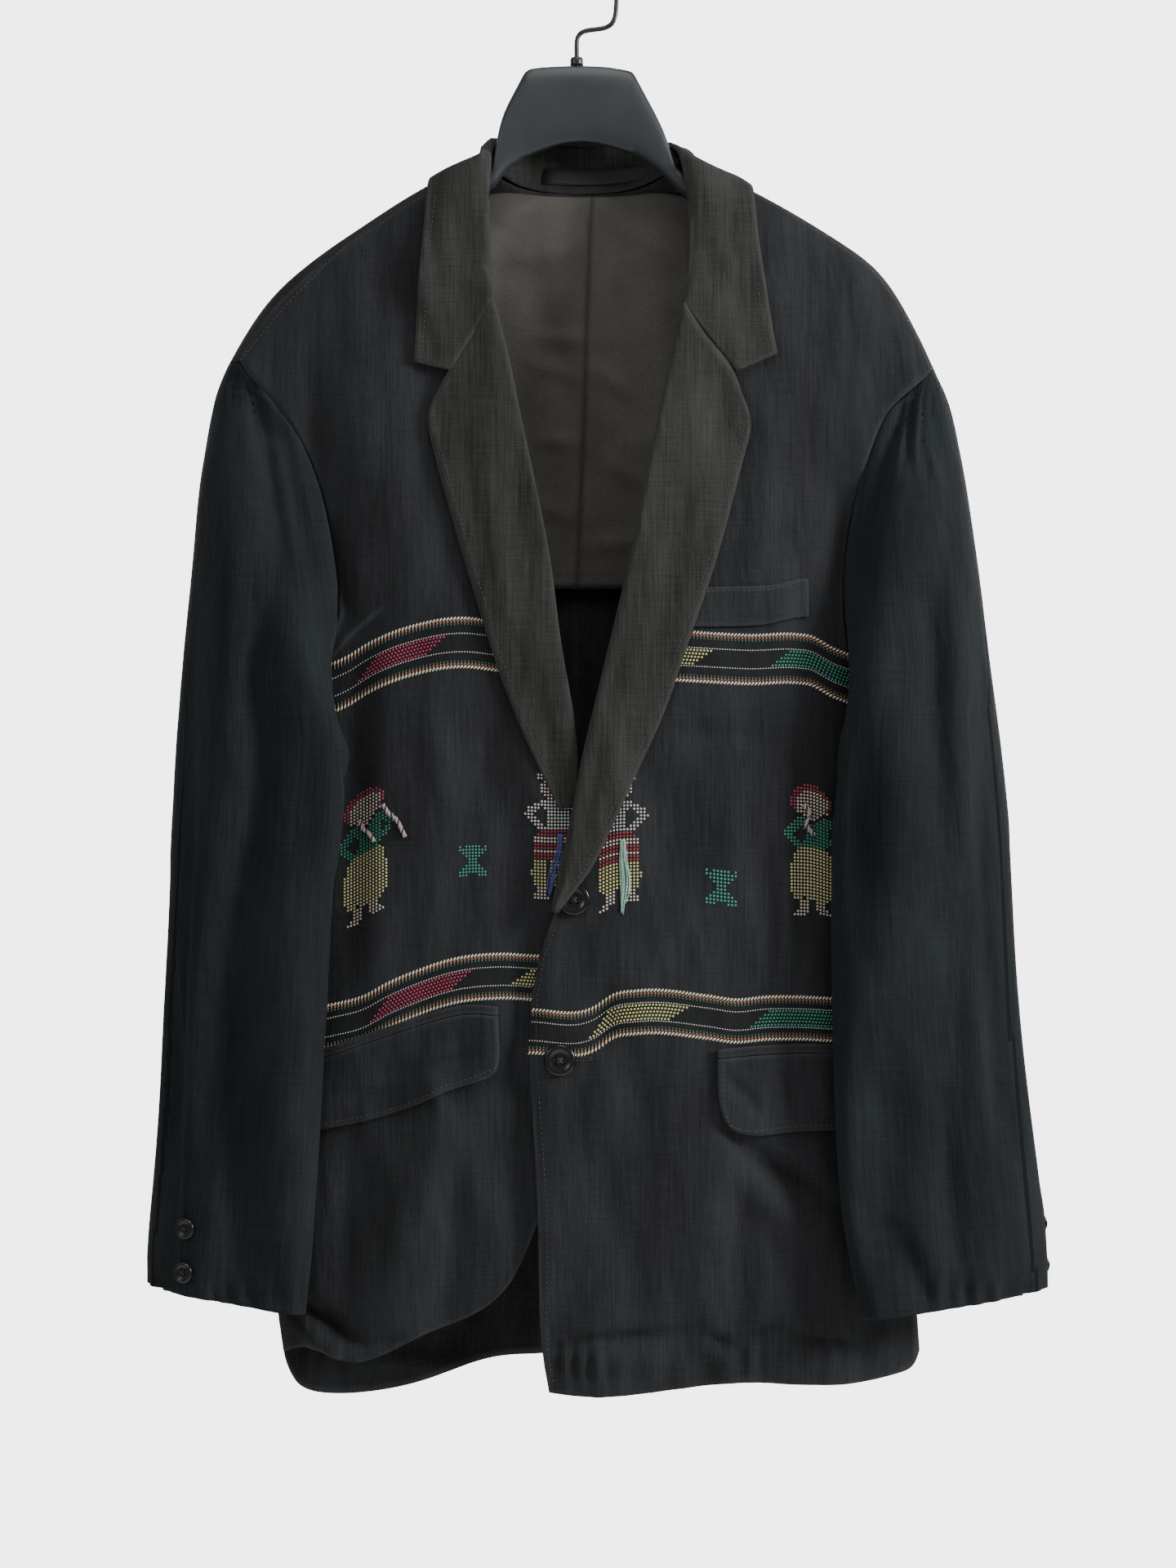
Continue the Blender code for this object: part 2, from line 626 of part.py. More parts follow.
def sleeve_sheet(side):
    """The whole sleeve as rings, each from the shoulder seam forward, down and up behind to it again."""
    front = on_body(armhole_front(side))
    back = on_body(armhole_back(side))
    places = np.vstack([armhole_front(side), armhole_back(side)[-2::-1]])
    normals = body_normal(places)
    # Under the arm the sleeve laps outside the body's edge, and elsewhere the two meet edge to edge
    over = (WALL + LAP_GAP) * ease((np.abs(places[:, 1:]) - way_down(215)) / 40)
    ring = np.vstack([front, back[-2::-1]]) + normals * over
    before = np.interp(ARMHOLE_ROWS, [0, INNER_ROW, 1], [0, 180, ARMPIT_TURN])
    turn = np.concatenate([before, 360 - (360 - ARMPIT_TURN) * ARMHOLE_BACK_ROWS[-2::-1]])

    def oval(at, turn):
        """A place round the sleeve's oval."""
        size = {key: smooth_at(side["sleeve"], key, at, by="at") for key in SLEEVE_COLUMNS.split()[1:]}
        outer = np.array([size["xo"], size["yo"], size["zo"]])
        inner = np.array([size["xi"], size["yi"], size["zi"]])
        half = (outer - inner) / 2
        forward = np.array([0.0, -1.0, 0.0])
        forward = unit(forward - unit(half) * np.dot(unit(half), forward))
        angle = np.radians(turn)
        power = 2 / SLEEVE_POWER
        along = np.sign(np.cos(angle)) * np.abs(np.cos(angle)) ** power
        across = np.sign(np.sin(angle)) * np.abs(np.sin(angle)) ** power
        swell = np.zeros(len(turn))
        for middle, width, rise, top, low in zip(*SLEEVE_FOLDS.values()):
            away = (np.asarray(turn) - middle + 180) % 360 - 180
            swell += rise * ease((at - top) * 6) * ease((low - at) * 6) * np.exp(-((away / width) ** 2) * 1.5)
        outward = np.stack([along, across], axis=1)
        reach = size["thick"] + swell
        return (outer + inner) / 2 + outward[:, :1] * half + outward[:, 1:] * reach[:, None] * forward

    def hanging(at):
        """A place down the hanging sleeve."""
        turned = turn + side["twist"] * ease((at - 0.08) / 0.85)
        shape = oval(at, turned)
        below = shoulder_z(shape[:, 0]) - shape[:, 2]
        held = outside(shape, SLEEVE_CLEAR * ease(at / 0.35) + LEAST_CLEAR)
        return shape + (held - shape) * ease((below - 150) / 60)[:, None]

    # Near the armhole each thread of the sleeve bends from the seam into the hanging part
    first, beyond = hanging(CAP_END), hanging(CAP_END + 0.02)
    leave = first - ring + normals * np.linalg.norm(first - ring, axis=1, keepdims=True) * CAP_PUFF
    arrive = (beyond - first) / 0.02 * CAP_END
    rings = []
    for at in SLEEVE_RINGS:
        t = at / CAP_END
        if t >= 1:
            rings.append(hanging(at))
            continue
        bent = ring * (1 + 2 * t) * (1 - t) ** 2 + first * t**2 * (3 - 2 * t)
        bent = bent + leave * t * (1 - t) ** 2 - arrive * t**2 * (1 - t)
        below = shoulder_z(bent[:, 0]) - bent[:, 2]
        held = outside(bent, LEAST_CLEAR * ease(t * 2) + WALL)
        rings.append(bent + (held - bent) * (ease((below - 150) / 60) * ease(t * 5))[:, None])
    return np.array(rings), normals


def sleeve_normals(sheet, first):
    """The ways out of the sleeve, with the body's own at the armhole, so that its edge meets the armhole's."""
    wrapped = np.concatenate([sheet[:, -2:-1], sheet, sheet[:, 1:2]], axis=1)
    normals = sheet_normals(wrapped)[:, 1:-1]
    normals[0] = first
    return normals


def build_sleeve(side, word):
    """The top and under pieces of one sleeve."""
    sheet, first = sleeve_sheet(side)
    normals = sleeve_normals(sheet, first)
    for part in (normals[:1], normals[1:]):
        if part[-1, 4, 1] > 0:
            part *= -1
    a, b = FRONT_SEAM_COLUMN, BACK_SEAM_COLUMN
    around = np.concatenate([np.arange(b, sheet.shape[1] - 1), np.arange(0, a + 1)])
    sheet = part_edges(sheet, "top", SEAM_GAP)
    for piece, columns in (("top", around), ("under", np.arange(a, b + 1))):
        cut = part_edges(sheet[:, columns], "first last", SLEEVE_SEAM / 2)
        cloth(f"sleeve_{word}_{piece}", cut, normals[:, columns], WALL, SLEEVE_CLOTH)


# Lapels and collar: the cloth turned back over the fronts

ROLL_STEPS = np.array([1.9, 0.8, 0.0, 1.3])  # across the roll, from the front's edge round to the face
ROLL_RISES = np.array([0.0, 0.5, 2.6, 4.6])
LAPEL_SHARES = np.array([0.14, 0.34, 0.58, 0.8, 1.0])  # across the flat of a lapel, with the notch at the middle one
LAPEL_ROWS = np.array([0, 0.05, 0.12, 0.2, 0.28, 0.36, 0.44, 0.52, 0.6, 0.68, 0.76, 0.84, 0.9, 0.95, 1])
BUTTON_CLEAR = 2.6  # how much higher the left lapel stands where it passes over the upper button


def roll_frame(side, fractions):
    """Points of a lapel's roll and the level way out from the jacket's middle at each."""
    gorge = points(side["gorge"])[0]
    roll = roll_path(side)
    low = roll[roll[:, 1] < gorge[1] - 4]
    path = through(np.vstack([gorge[None], low]), fractions)
    return path, perpendicular(path, side["sign"])


def roll_strip(side, roll, out, press=1.0):
    """The four points across the roll at each of its places, pressed flatter where it is under 1."""
    strip = [on_front(side, roll + out * step, rise * press) for step, rise in zip(ROLL_STEPS, ROLL_RISES)]
    return np.stack(strip, axis=1)


def build_lapel(side, name):
    """One lapel, folded back on its front."""
    roll, out = roll_frame(side, LAPEL_ROWS)
    edge = through(points(side["lapel_edge"]), LAPEL_ROWS)
    reach = edge - roll
    width = np.linalg.norm(reach, axis=1, keepdims=True)
    near = np.minimum(6.0, 0.5 * width)
    down = ease((LAPEL_ROWS - 0.75) / 0.2)
    press = 1 - 0.45 * down * (side["sign"] < 0)
    flat_part = []
    for share in LAPEL_SHARES:
        place = roll + unit(reach) * (near + (width - near) * (share - LAPEL_SHARES[0]) / (1 - LAPEL_SHARES[0]))
        if share == LAPEL_SHARES[2]:
            place[0] = points(side["gorge"])[1]
        rise = (ROLL_RISE + (EDGE_RISE - ROLL_RISE) * share) * press + BUTTON_CLEAR * down * (side["sign"] > 0)
        flat_part.append(on_front(side, place, rise))
    sheet = np.concatenate([roll_strip(side, roll, out, press), np.stack(flat_part, axis=1)], axis=1)
    normals = sheet_normals(sheet)
    if normals[5, -2][1] > 0:
        normals *= -1
    cloth(name, part_edges(sheet, "top first"), normals, THIN_WALL, COLLAR_CLOTH)


FRONT_COLLAR_ROWS = np.array([0, 0.35, 0.7])  # of the collar between the gorge and where it leaves the front
COLLAR_ROWS = np.array(
    [0, 0.05, 0.1, 0.13, 0.16, 0.19, 0.22, 0.25, 0.3, 0.36, 0.43, 0.5]
    + [0.57, 0.64, 0.7, 0.75, 0.78, 0.81, 0.84, 0.87, 0.9, 0.95, 1]
)
LABEL_REACH = (-32.0, 52.0)
STAND_FRONT = -3.0  # the stand ends here, in front of the shoulder line
STAND_LIP = 3.4  # how far below the fold the collar's inner edge lies


def collar_end(side):
    """The collar's sheet where it lies on a front, from the gorge upwards."""
    gorge = points(side["gorge"])
    roll_all = roll_path(side)
    top = COLLAR_FOLD["z"][0 if side["sign"] < 0 else -1] - 6
    high = roll_all[(roll_all[:, 1] > gorge[0, 1] + 4) & (roll_all[:, 1] < top)][::-1]
    end = [[np.interp(top, roll_all[::-1, 1], roll_all[::-1, 0]), top]]
    roll = through(np.vstack([gorge[:1], high, end]), FRONT_COLLAR_ROWS)
    out = np.vstack([roll_frame(side, LAPEL_ROWS)[1][:1], perpendicular(roll, side["sign"])[1:]])
    edge_top = points(COLLAR_EDGE)[0 if side["sign"] < 0 else -1]
    corner = np.array(side["collar_corner"])
    rows = []
    for i, share in enumerate(FRONT_COLLAR_ROWS):
        edge = corner + (edge_top - corner) * share
        notch = gorge[1] + (edge - gorge[1]) * share * 0.6
        rows.append(np.stack([roll[i], notch, edge]))
    sheet = []
    for i, (start, notch, edge) in enumerate(rows):
        strip = roll_strip(side, start[None], out[i : i + 1])[0]
        near = start + unit(notch - start) * 6.0
        middle = (near + notch) / 2
        half = (notch + edge) / 2
        flat_part = [
            on_front(side, place, ROLL_RISE + (EDGE_RISE - ROLL_RISE) * share)
            for place, share in zip((near, middle, notch, half, edge), LAPEL_SHARES)
        ]
        sheet.append(np.vstack([strip, flat_part]))
    return np.array(sheet)


def collar_round():
    """The collar's sheet round the neck, where it stands up and folds over."""
    fold = through(points(COLLAR_FOLD, "x y z"), COLLAR_ROWS)
    edge = through(points(COLLAR_EDGE, "x y z"), COLLAR_ROWS)
    along = unit(np.gradient(fold, axis=0))
    away = (edge - fold) * np.array([1.0, 1.0, 0.0])
    away = unit(away - along * np.sum(away * along, axis=1, keepdims=True))
    up = np.cross(away, along)
    up *= np.where(up[:, 2:] - up[:, 1:2] > 0, 1, -1)
    level = ease((-145 - fold[:, 2:]) / 36)  # 1 where the collar lies on a front, 0 where it stands round the neck
    reached = ease((-132 - fold[:, 2]) / 12)
    for side in (RIGHT, LEFT):
        own = fold[:, 0] * side["sign"] > 0
        lying = on_front(side, fold[own][:, [0, 2]], ROLL_RISES[2])[:, 1]
        fold[own, 1] += (lying - fold[own, 1]) * reached[own]
    lip = fold + away * (2.5 * level - 0.4) - up * (STAND_LIP + 0.8 * level)
    inner = fold + away * (0.8 * level - 0.2) - up * (1.0 + 2.2 * level)
    over = fold + away * (2.2 - 0.9 * level) + up * (0.9 - 0.4 * level)
    fall = fold + away * 5.4 - up * (1.8 - 1.6 * level)
    swell = away * 3.0 * (1 - level) + up * 2.4 * (1 - level)
    spans = [fall + (edge - fall) * t + swell * math.sin(math.pi * t) for t in (0.14, 0.38, 0.62, 0.82, 1.0)]
    return np.stack([lip, inner, over, fall] + spans, axis=1)


def build_collar():
    """The collar's fall, round the neck from corner to corner."""
    right, left = collar_end(RIGHT), collar_end(LEFT)
    neck = collar_round()
    neck[:, 2] = above_body(neck[:, 2], ROLL_RISES[2] + 0.4)
    neck[:, 3:] = above_body(neck[:, 3:], EDGE_RISE + 0.8)
    sheet = np.concatenate([right, neck, left[::-1]], axis=0)
    normals = sheet_normals(sheet)
    if normals[1, -2][1] > 0:
        normals *= -1
    cloth("collar", part_edges(sheet, "top bottom first"), normals, THIN_WALL, COLLAR_CLOTH)


def collar_stand_sheet():
    """The stand, from the neck seam of the back up to the collar's fold."""
    fold = through(points(COLLAR_FOLD, "x y z"), COLLAR_ROWS)
    fold = fold[fold[:, 1] > STAND_FRONT]
    away = unit(np.stack([fold[:, 0] - 6, fold[:, 1] + 4, 0 * fold[:, 0]], axis=1))
    top = fold - away * 0.6 - np.array([0, 0, STAND_LIP + 1.2])
    seam = on_body(np.vstack([neck_seam(RIGHT)[::-1], neck_seam(LEFT)[1:]]))
    seam = seam[seam[:, 1] > STAND_FRONT - 3]
    foot = through(seam, np.linspace(0, 1, len(top)))
    foot = foot + unit(np.array([6.0, -4.0, 0.0]) - foot * np.array([1.0, 1.0, 0.0])) * 1.5 + np.array([0, 0, 0.6])
    share = np.linspace(0, 1, 4)[None, :, None]
    return foot[:, None] * (1 - share) + top[:, None] * share


def inner_normals(sheet):
    """The sheet's normals, towards the middle of the neck."""
    normals = sheet_normals(sheet)
    middle = np.array([6.0, -10.0])
    half = len(sheet) // 2
    if np.sum((middle - sheet[half, 1, :2]) * normals[half, 1, :2]) < 0:
        normals *= -1
    return normals


def build_neck():
    """The collar's stand and the blank neck label on it."""
    stand = collar_stand_sheet()
    normals = inner_normals(stand)
    cloth("collar_stand", stand, normals, LINING_WALL, COLLAR_CLOTH)
    within = (stand[:, 0, 0] > LABEL_REACH[0]) & (stand[:, 0, 0] < LABEL_REACH[1])
    label = stand[within] + normals[within] * (LINING_WALL / 2 + REST_GAP + 0.3)
    share = np.array([0.16, 0.5])
    label = np.stack([label[:, 0] + (label[:, 3] - label[:, 0]) * t for t in share], axis=1)
    cloth("neck_label", label, normals[within, 1:3], 0.6, LABEL_CLOTH)


LINING_HEM = -421.0
LINING_REACH = 150.0


def build_lining(side, name):
    """Half of the short lining behind the neck, which hangs free from the neck seam down."""
    across = np.linspace(0, 1, 11)
    down = np.array([0, 0.03, 0.08, 0.16, 0.26, 0.38, 0.5, 0.62, 0.74, 0.87, 1])
    sheet = np.zeros((len(down), len(across), 3))
    for j, share in enumerate(across):
        for i, fall in enumerate(down):
            end = 2 + side["sign"] * LINING_REACH
            top_x = BACK_CENTRE["x"][0] * (1 - share) + end * share
            seam = -NECK_DEPTH - 2.0 + 9.0 * ease((abs(top_x - 2) - 30) / 26)
            top = min(seam, shoulder_z(top_x) - 20.0)
            z = top + (LINING_HEM - top) * fall
            x = np.interp(-z, -BACK_CENTRE["z"], BACK_CENTRE["x"]) * (1 - share) + end * share
            place = to_body(np.array([x, z]), face=1)
            sag = 1.0 * math.sin(math.pi * fall) + 5.0 * fall**3 + 1.0 * (1 - fall) ** 4
            inside = WALL / 2 + REST_GAP + LINING_WALL / 2 + sag
            sheet[i, j] = on_body(place) - body_normal(place) * inside
    normals = sheet_normals(sheet)
    if normals[5, 5][1] > 0:
        normals *= -1
    cloth(name, part_edges(sheet, "first"), normals, LINING_WALL, LINING_CLOTH)


# Pockets: pieces that lie on a front, made from its points

POCKETS = {
    "flap_right": {
        "side": RIGHT,
        "top": [(-52, -709), (-66, -707), (-83, -709), (-120, -721), (-165, -737), (-186, -744)],
        "low": [(-54, -748), (-73, -754), (-90, -759), (-100, -765), (-129, -776), (-168, -785), (-186, -789)],
        "front": [(-52, -709), (-51.5, -722), (-50.6, -738), (-54, -748)],
        "hang": 2.6,
    },
    "flap_left": {
        "side": LEFT,
        "top": [(93, -737), (120, -735), (150, -734), (180, -735), (200, -737)],
        "low": [(101, -784), (116, -788), (133, -786.5), (152, -785), (180, -785), (200, -786)],
        "front": [(93, -737), (93.4, -763), (96.5, -776), (101, -784)],
        "hang": 2.2,
    },
    "chest_welt": {
        "side": LEFT,
        "top": [(80, -425.5), (100, -424.6), (123, -424), (138, -421.5), (149, -418), (153.4, -418.8)],
        "low": [(73, -451), (100, -450.6), (122, -449.6), (134, -447), (147, -444), (153.9, -443.6)],
        "front": [(80, -425.5), (73, -451)],
        "hang": 0.0,
    },
}
JET_HEIGHT = 5.6


def build_on_front(name, side, top, low, front, hang, rows=6, columns=12):
    """A flat piece that lies on a front, its lower edge standing a little further off than its upper one."""
    across = np.linspace(0, 1, columns)
    top, low = through(top, across), through(low, across)
    down = np.linspace(0, 1, rows)
    first = through(front, down)
    last = through([top[-1], low[-1]], down)
    place = patch(top, low, first, last)
    lying = WALL / 2 + REST_GAP + THIN_WALL / 2
    wave = 0.8 * np.sin(across * 7.0)[None, :] * (hang > 0)
    rise = lying + (hang + wave) * (down[:, None] ** 1.4) * (hang > 0)
    sheet = on_front(side, place, rise)
    normals = sheet_normals(sheet)
    if normals[1, 3][1] > 0:
        normals *= -1
    cloth(name, sheet, normals, THIN_WALL, FRONT_CLOTH)


def build_pockets():
    """The flaps, the chest welt and the jetted strips above the flaps."""
    for name, cut in POCKETS.items():
        build_on_front(name, cut["side"], cut["top"], cut["low"], cut["front"], cut["hang"])
    for name, flap in (("jet_right", "flap_right"), ("jet_left", "flap_left")):
        low = np.array(POCKETS[flap]["top"]) + np.array([0, SEAM_GAP + 0.5])
        top = low + np.array([0, JET_HEIGHT])
        build_on_front(name, POCKETS[flap]["side"], top, low, [top[0], low[0]], 0.0, rows=2)


# Buttons: turned discs with a rim and a dished middle

BUTTON_PROFILE = table(
    "reach height",
    (0, 0), (0.72, 0), (0.98, 0.3), (1, 0.55), (0.9, 1), (0.74, 0.92), (0.62, 0.5), (0, 0.46),
)  # shares of the radius and of the thickness, from the back of the button round its rim to its middle


def build_button(name, centre, normal, radius, thick, sides=20):
    """A button with a raised rim and a dished face."""
    bm = bmesh.new()
    profile = [bm.verts.new((r * radius, 0, h * thick)) for r, h in zip(*BUTTON_PROFILE.values())]
    edges = [bm.edges.new(pair) for pair in zip(profile, profile[1:])]
    bmesh.ops.spin(
        bm, geom=profile + edges, cent=(0, 0, 0), axis=(0, 0, 1), angle=math.tau, steps=sides, use_merge=True
    )
    bmesh.ops.remove_doubles(bm, verts=bm.verts, dist=0.001)
    turn = Vector((0, 0, 1)).rotation_difference(Vector(normal)).to_matrix().to_4x4()
    bmesh.ops.transform(bm, matrix=Matrix.Translation(Vector(centre)) @ turn, verts=bm.verts)
    finish(bm, name, BUTTON_RESIN)


FRONT_BUTTONS = table("x z", (-1.6, -631), (-10.8, -737))
CUFF_BUTTONS = table("at turn", (0.902, 45), (0.963, 45))
BUTTON_THICK, CUFF_BUTTON_THICK = 3.0, 2.6


def build_buttons():
    """The two front buttons and the two pairs at the cuffs."""
    for name, x, z in zip(("front_button_upper", "front_button_lower"), *FRONT_BUTTONS.values()):
        place = np.array([x, z])
        seat, above = on_front(LEFT, place, WALL / 2 + REST_GAP), on_front(LEFT, place, WALL / 2 + REST_GAP + 1)
        build_button(name, seat, unit(above - seat), BUTTON_RADIUS, BUTTON_THICK)
    for side, word, column in ((RIGHT, "right", 22), (LEFT, "left", 20)):
        sheet, first = sleeve_sheet(side)
        normals = sleeve_normals(sheet, first)
        for name, at in zip(("upper", "lower"), CUFF_BUTTONS["at"]):
            row = np.interp(at, SLEEVE_RINGS, np.arange(len(SLEEVE_RINGS)))
            low = int(row)
            seat = sheet[low, column] + (sheet[low + 1, column] - sheet[low, column]) * (row - low)
            normal = unit(normals[low, column] + normals[low + 1, column])
            if normal[1] * (1 if side is RIGHT else -1) > 0:
                normal = -normal
            build_button(
                f"cuff_button_{word}_{name}", seat + normal * (WALL / 2 + REST_GAP), normal, CUFF_BUTTON_RADIUS,
                CUFF_BUTTON_THICK, sides=16,
            )


# Hanger

HANGER = table(
    "x top low half",
    (-224, -262, -278, 9), (-206, -230, -258, 11), (-182, -206, -240, 12), (-145, -180, -214, 12), (-97, -150, -184, 11),
    (-72, -143, -165, 9), (-62, -141, -155, 8), (-57.5, -138.5, -152.5, 7), (-55, -126, -151, 7),
    (-53, -112, -148, 7), (-49, -99, -142, 7.5), (-43, -88, -137, 7.5), (-38, -78.5, -133.5, 7.5),
    (-35.4, -73.5, -131.5, 7.5), (-33, -71.8, -130, 7.5), (-18, -70.4, -123.5, 7.5), (0, -69.7, -119.6, 7.5),
    (18, -70.4, -122, 7.5), (36, -71.8, -128, 7.5), (38.4, -73.5, -129, 7.5), (41, -78.5, -130.5, 7.5),
    (46, -88, -133.5, 7.5), (52, -99, -138, 7.5), (58, -111, -143, 7.5), (63, -124, -148, 7), (66, -139.5, -152, 7.5),
    (74, -143, -158, 8.5), (116, -155, -188, 11), (145, -171, -205, 12), (177, -190, -224, 12), (204, -211, -244, 11),
    (229, -252, -270, 9),
)
HANGER_SIDES = 12
ARM_GAP = 2.0


def build_hanger():
    """The hanger's arms and its flat middle, with a hole for the hook's foot."""
    bm = bmesh.new()
    loops = []
    for x, top, low, half in zip(*HANGER.values()):
        arm = abs(x - 5) > 62
        square = 1.0 if arm else 0.6  # the arms are round, and the middle is a flat plate with round edges
        if arm:
            top = min(top, shoulder_z(x) - WALL / 2 - ARM_GAP)
        ring = []
        for k in range(HANGER_SIDES):
            angle = math.tau * (k + 0.5) / HANGER_SIDES
            across, up = math.cos(angle), math.sin(angle)
            y = math.copysign(abs(across) ** square, across) * half
            full = math.sin(math.radians(75)) ** square
            z = (top + low) / 2 + math.copysign(abs(up) ** square, up) * (top - low) / 2 / full
            ring.append(bm.verts.new((x, y, z)))
        loops.append([bm.edges.new(pair) for pair in zip(ring, ring[1:] + ring[:1])])
    for a, b in zip(loops, loops[1:]):
        bmesh.ops.bridge_loops(bm, edges=a + b)
    bmesh.ops.holes_fill(bm, edges=loops[0] + loops[-1])
    body = finish(bm, "hanger_body", HANGER_PLASTIC)
    bpy.ops.mesh.primitive_cylinder_add(vertices=12, radius=(HOOK_WIRE + SEAM_GAP) * MM, depth=40 * MM)
    cutter = bpy.context.active_object
    cutter.name = "hook_hole"
    cutter.location = (0, 0, (HOOK_FOOT - 0.5 + 20) * MM)
    cutter.hide_render, cutter.display_type = True, "WIRE"
    hole = body.modifiers.new("hook hole", "BOOLEAN")
    hole.object, hole.operation, hole.solver = cutter, "DIFFERENCE", "EXACT"


HOOK_FOOT = -84.0
HOOK_ARC_START, HOOK_ARC_END = -8, 178  # degrees round the arc, above the photo's top edge: a guess
NUT_TOP, NUT_LOW = -63.6, -68.9
NUT_RADIUS = 4.6


def build_hook():
    """Steel wire: up out of the hanger, aside, and over the top in an arc to its free end."""
    centre = -HOOK_RADIUS + HOOK_WIRE
    stem = [(0, HOOK_FOOT), (0, -72), (0, -60), (0, -51), (1.2, -47.6), (4.6, -45.6), (12, -44.6), (19.5, -43.6)]
    stem += [(23.6, -41.4), (26, -36.6)]
    turns = np.radians(np.linspace(HOOK_ARC_START, HOOK_ARC_END, 20))
    arc = [(HOOK_RADIUS * math.cos(a), centre + HOOK_RADIUS * math.sin(a)) for a in turns]
    path = through(stem + arc, np.linspace(0, 1, 36))
    curve = bpy.data.curves.new("hanger_hook", "CURVE")
    curve.dimensions = "3D"
    curve.bevel_depth = HOOK_WIRE * MM
    curve.bevel_resolution = 2
    curve.use_fill_caps = True
    spline = curve.splines.new("POLY")
    spline.points.add(len(path) - 1)
    for point, (x, z) in zip(spline.points, path):
        point.co = (x * MM, 0, z * MM, 1)
    curve.materials.append(material(*HOOK_STEEL))
    hook = bpy.data.objects.new("hanger_hook", curve)
    bpy.context.scene.collection.objects.link(hook)
    bm = bmesh.new()
    outline = [
        (HOOK_WIRE + 2 * SEAM_GAP, NUT_LOW), (NUT_RADIUS, NUT_LOW), (NUT_RADIUS, NUT_TOP - 0.8),
        (NUT_RADIUS - 0.8, NUT_TOP), (HOOK_WIRE + 2 * SEAM_GAP, NUT_TOP),
    ]
    ring = [bm.verts.new((r, 0, z)) for r, z in outline]
    edges = [bm.edges.new(pair) for pair in zip(ring, ring[1:] + ring[:1])]
    bmesh.ops.spin(bm, geom=ring + edges, cent=(0, 0, 0), axis=(0, 0, 1), angle=math.tau, steps=16, use_merge=True)
    finish(bm, "hanger_nut", HOOK_STEEL)


# Loose thread ends of the woven figures: strands that grow from a small knot

TASSELS = {
    "thread_tassel_blue": (RIGHT, (-11.5, -587), (-19.5, -627), 4, (0.09, 0.15, 0.42)),
    "thread_tassel_mint": (LEFT, (29.7, -591), (32.5, -639), 5, (0.36, 0.66, 0.55)),
    "thread_braid_right_outer": (RIGHT, (-144, -578), (-134.5, -593), 3, (0.62, 0.55, 0.55)),
    "thread_braid_right_inner": (RIGHT, (-127, -568), (-112, -591), 3, (0.62, 0.55, 0.55)),
    "thread_braid_left": (LEFT, (152.5, -567), (156.5, -590), 3, (0.62, 0.58, 0.58)),
}
STRAND = 0.9
THREAD_GAP = 0.5
KNOT_HEIGHT = 2.2


def build_tassel(name, side, start, end, strands, colour):
    """A knot of loose thread with its strands lying on the front."""
    bm = bmesh.new()
    cells = 2 * strands - 1
    bmesh.ops.create_grid(bm, x_segments=cells, y_segments=1, size=0.5)
    width = cells * STRAND
    for vert in bm.verts:
        vert.co = Vector(((vert.co.x) * width, vert.co.y * STRAND, 0))
    grown = bmesh.ops.extrude_face_region(bm, geom=bm.faces[:])
    for item in grown["geom"]:
        if isinstance(item, bmesh.types.BMVert):
            item.co.z += KNOT_HEIGHT
    bmesh.ops.recalc_face_normals(bm, faces=bm.faces)
    low = sorted((f for f in bm.faces if f.normal.z < -0.9), key=lambda f: f.calc_center_median().x)
    length = math.dist(start, end) - KNOT_HEIGHT
    steps = max(3, round(length / 6))
    for k, face in enumerate(low[::2]):
        own = length * (1 - 0.12 * ((k * 7) % 3))
        for step in range(1, steps + 1):
            made = bmesh.ops.extrude_discrete_faces(bm, faces=[face])
            face = made["faces"][0]
            sway = 0.35 * math.sin(step * 1.3 + k * 2.1) * (step / steps)
            for vert in face.verts:
                vert.co += Vector((sway, 0, -own / steps))
    start, end = np.array(start, dtype=float), np.array(end, dtype=float)
    along = unit(end - start)
    across = np.array([-along[1], along[0]])
    lying = WALL / 2 + THREAD_GAP + STRAND / 2
    places = np.array([start + along * (KNOT_HEIGHT - v.co.z) + across * v.co.x for v in bm.verts])
    seats = on_front(side, places, lying + np.array([v.co.y for v in bm.verts]))
    for vert, seat in zip(bm.verts, seats):
        vert.co = Vector(seat)
    finish(bm, name, (name + " thread", colour, 0.9), smooth=False)


def clear_scene():
    """Starts from an empty scene."""
    for old in list(bpy.data.objects):
        bpy.data.objects.remove(old, do_unlink=True)


def main():
    """Builds every piece of the jacket and its hanger."""
    clear_scene()
    body_cloth("front_right", front_places(RIGHT), "top first last")
    body_cloth("front_left", front_places(LEFT), "top first last", lifted=LEFT)
    body_cloth("back_right", back_places(RIGHT), "top first last")
    body_cloth("back_left", back_places(LEFT), "top first last")
    build_sleeve(RIGHT, "right")
    build_sleeve(LEFT, "left")
    build_lapel(RIGHT, "lapel_right")
    build_lapel(LEFT, "lapel_left")
    build_collar()
    build_neck()
    build_lining(RIGHT, "half_lining_right")
    build_lining(LEFT, "half_lining_left")
    build_pockets()
    build_buttons()
    build_hanger()
    build_hook()
    for name, (side, start, end, strands, colour) in TASSELS.items():
        build_tassel(name, side, start, end, strands, colour)


main()
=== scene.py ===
"""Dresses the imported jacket: woven cloth with its creases, brocade, buttons, threads, hanger and stage.

Everything is in metres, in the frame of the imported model: the origin is the inside of the hook's top, the
jacket faces -Y and +Z is up. Tables are in millimetres, and MM turns them into metres.
"""

import json
import math

import bmesh
import bpy
import numpy as np
from mathutils import Matrix, Vector
from mathutils.bvhtree import BVHTree
from mathutils.kdtree import KDTree

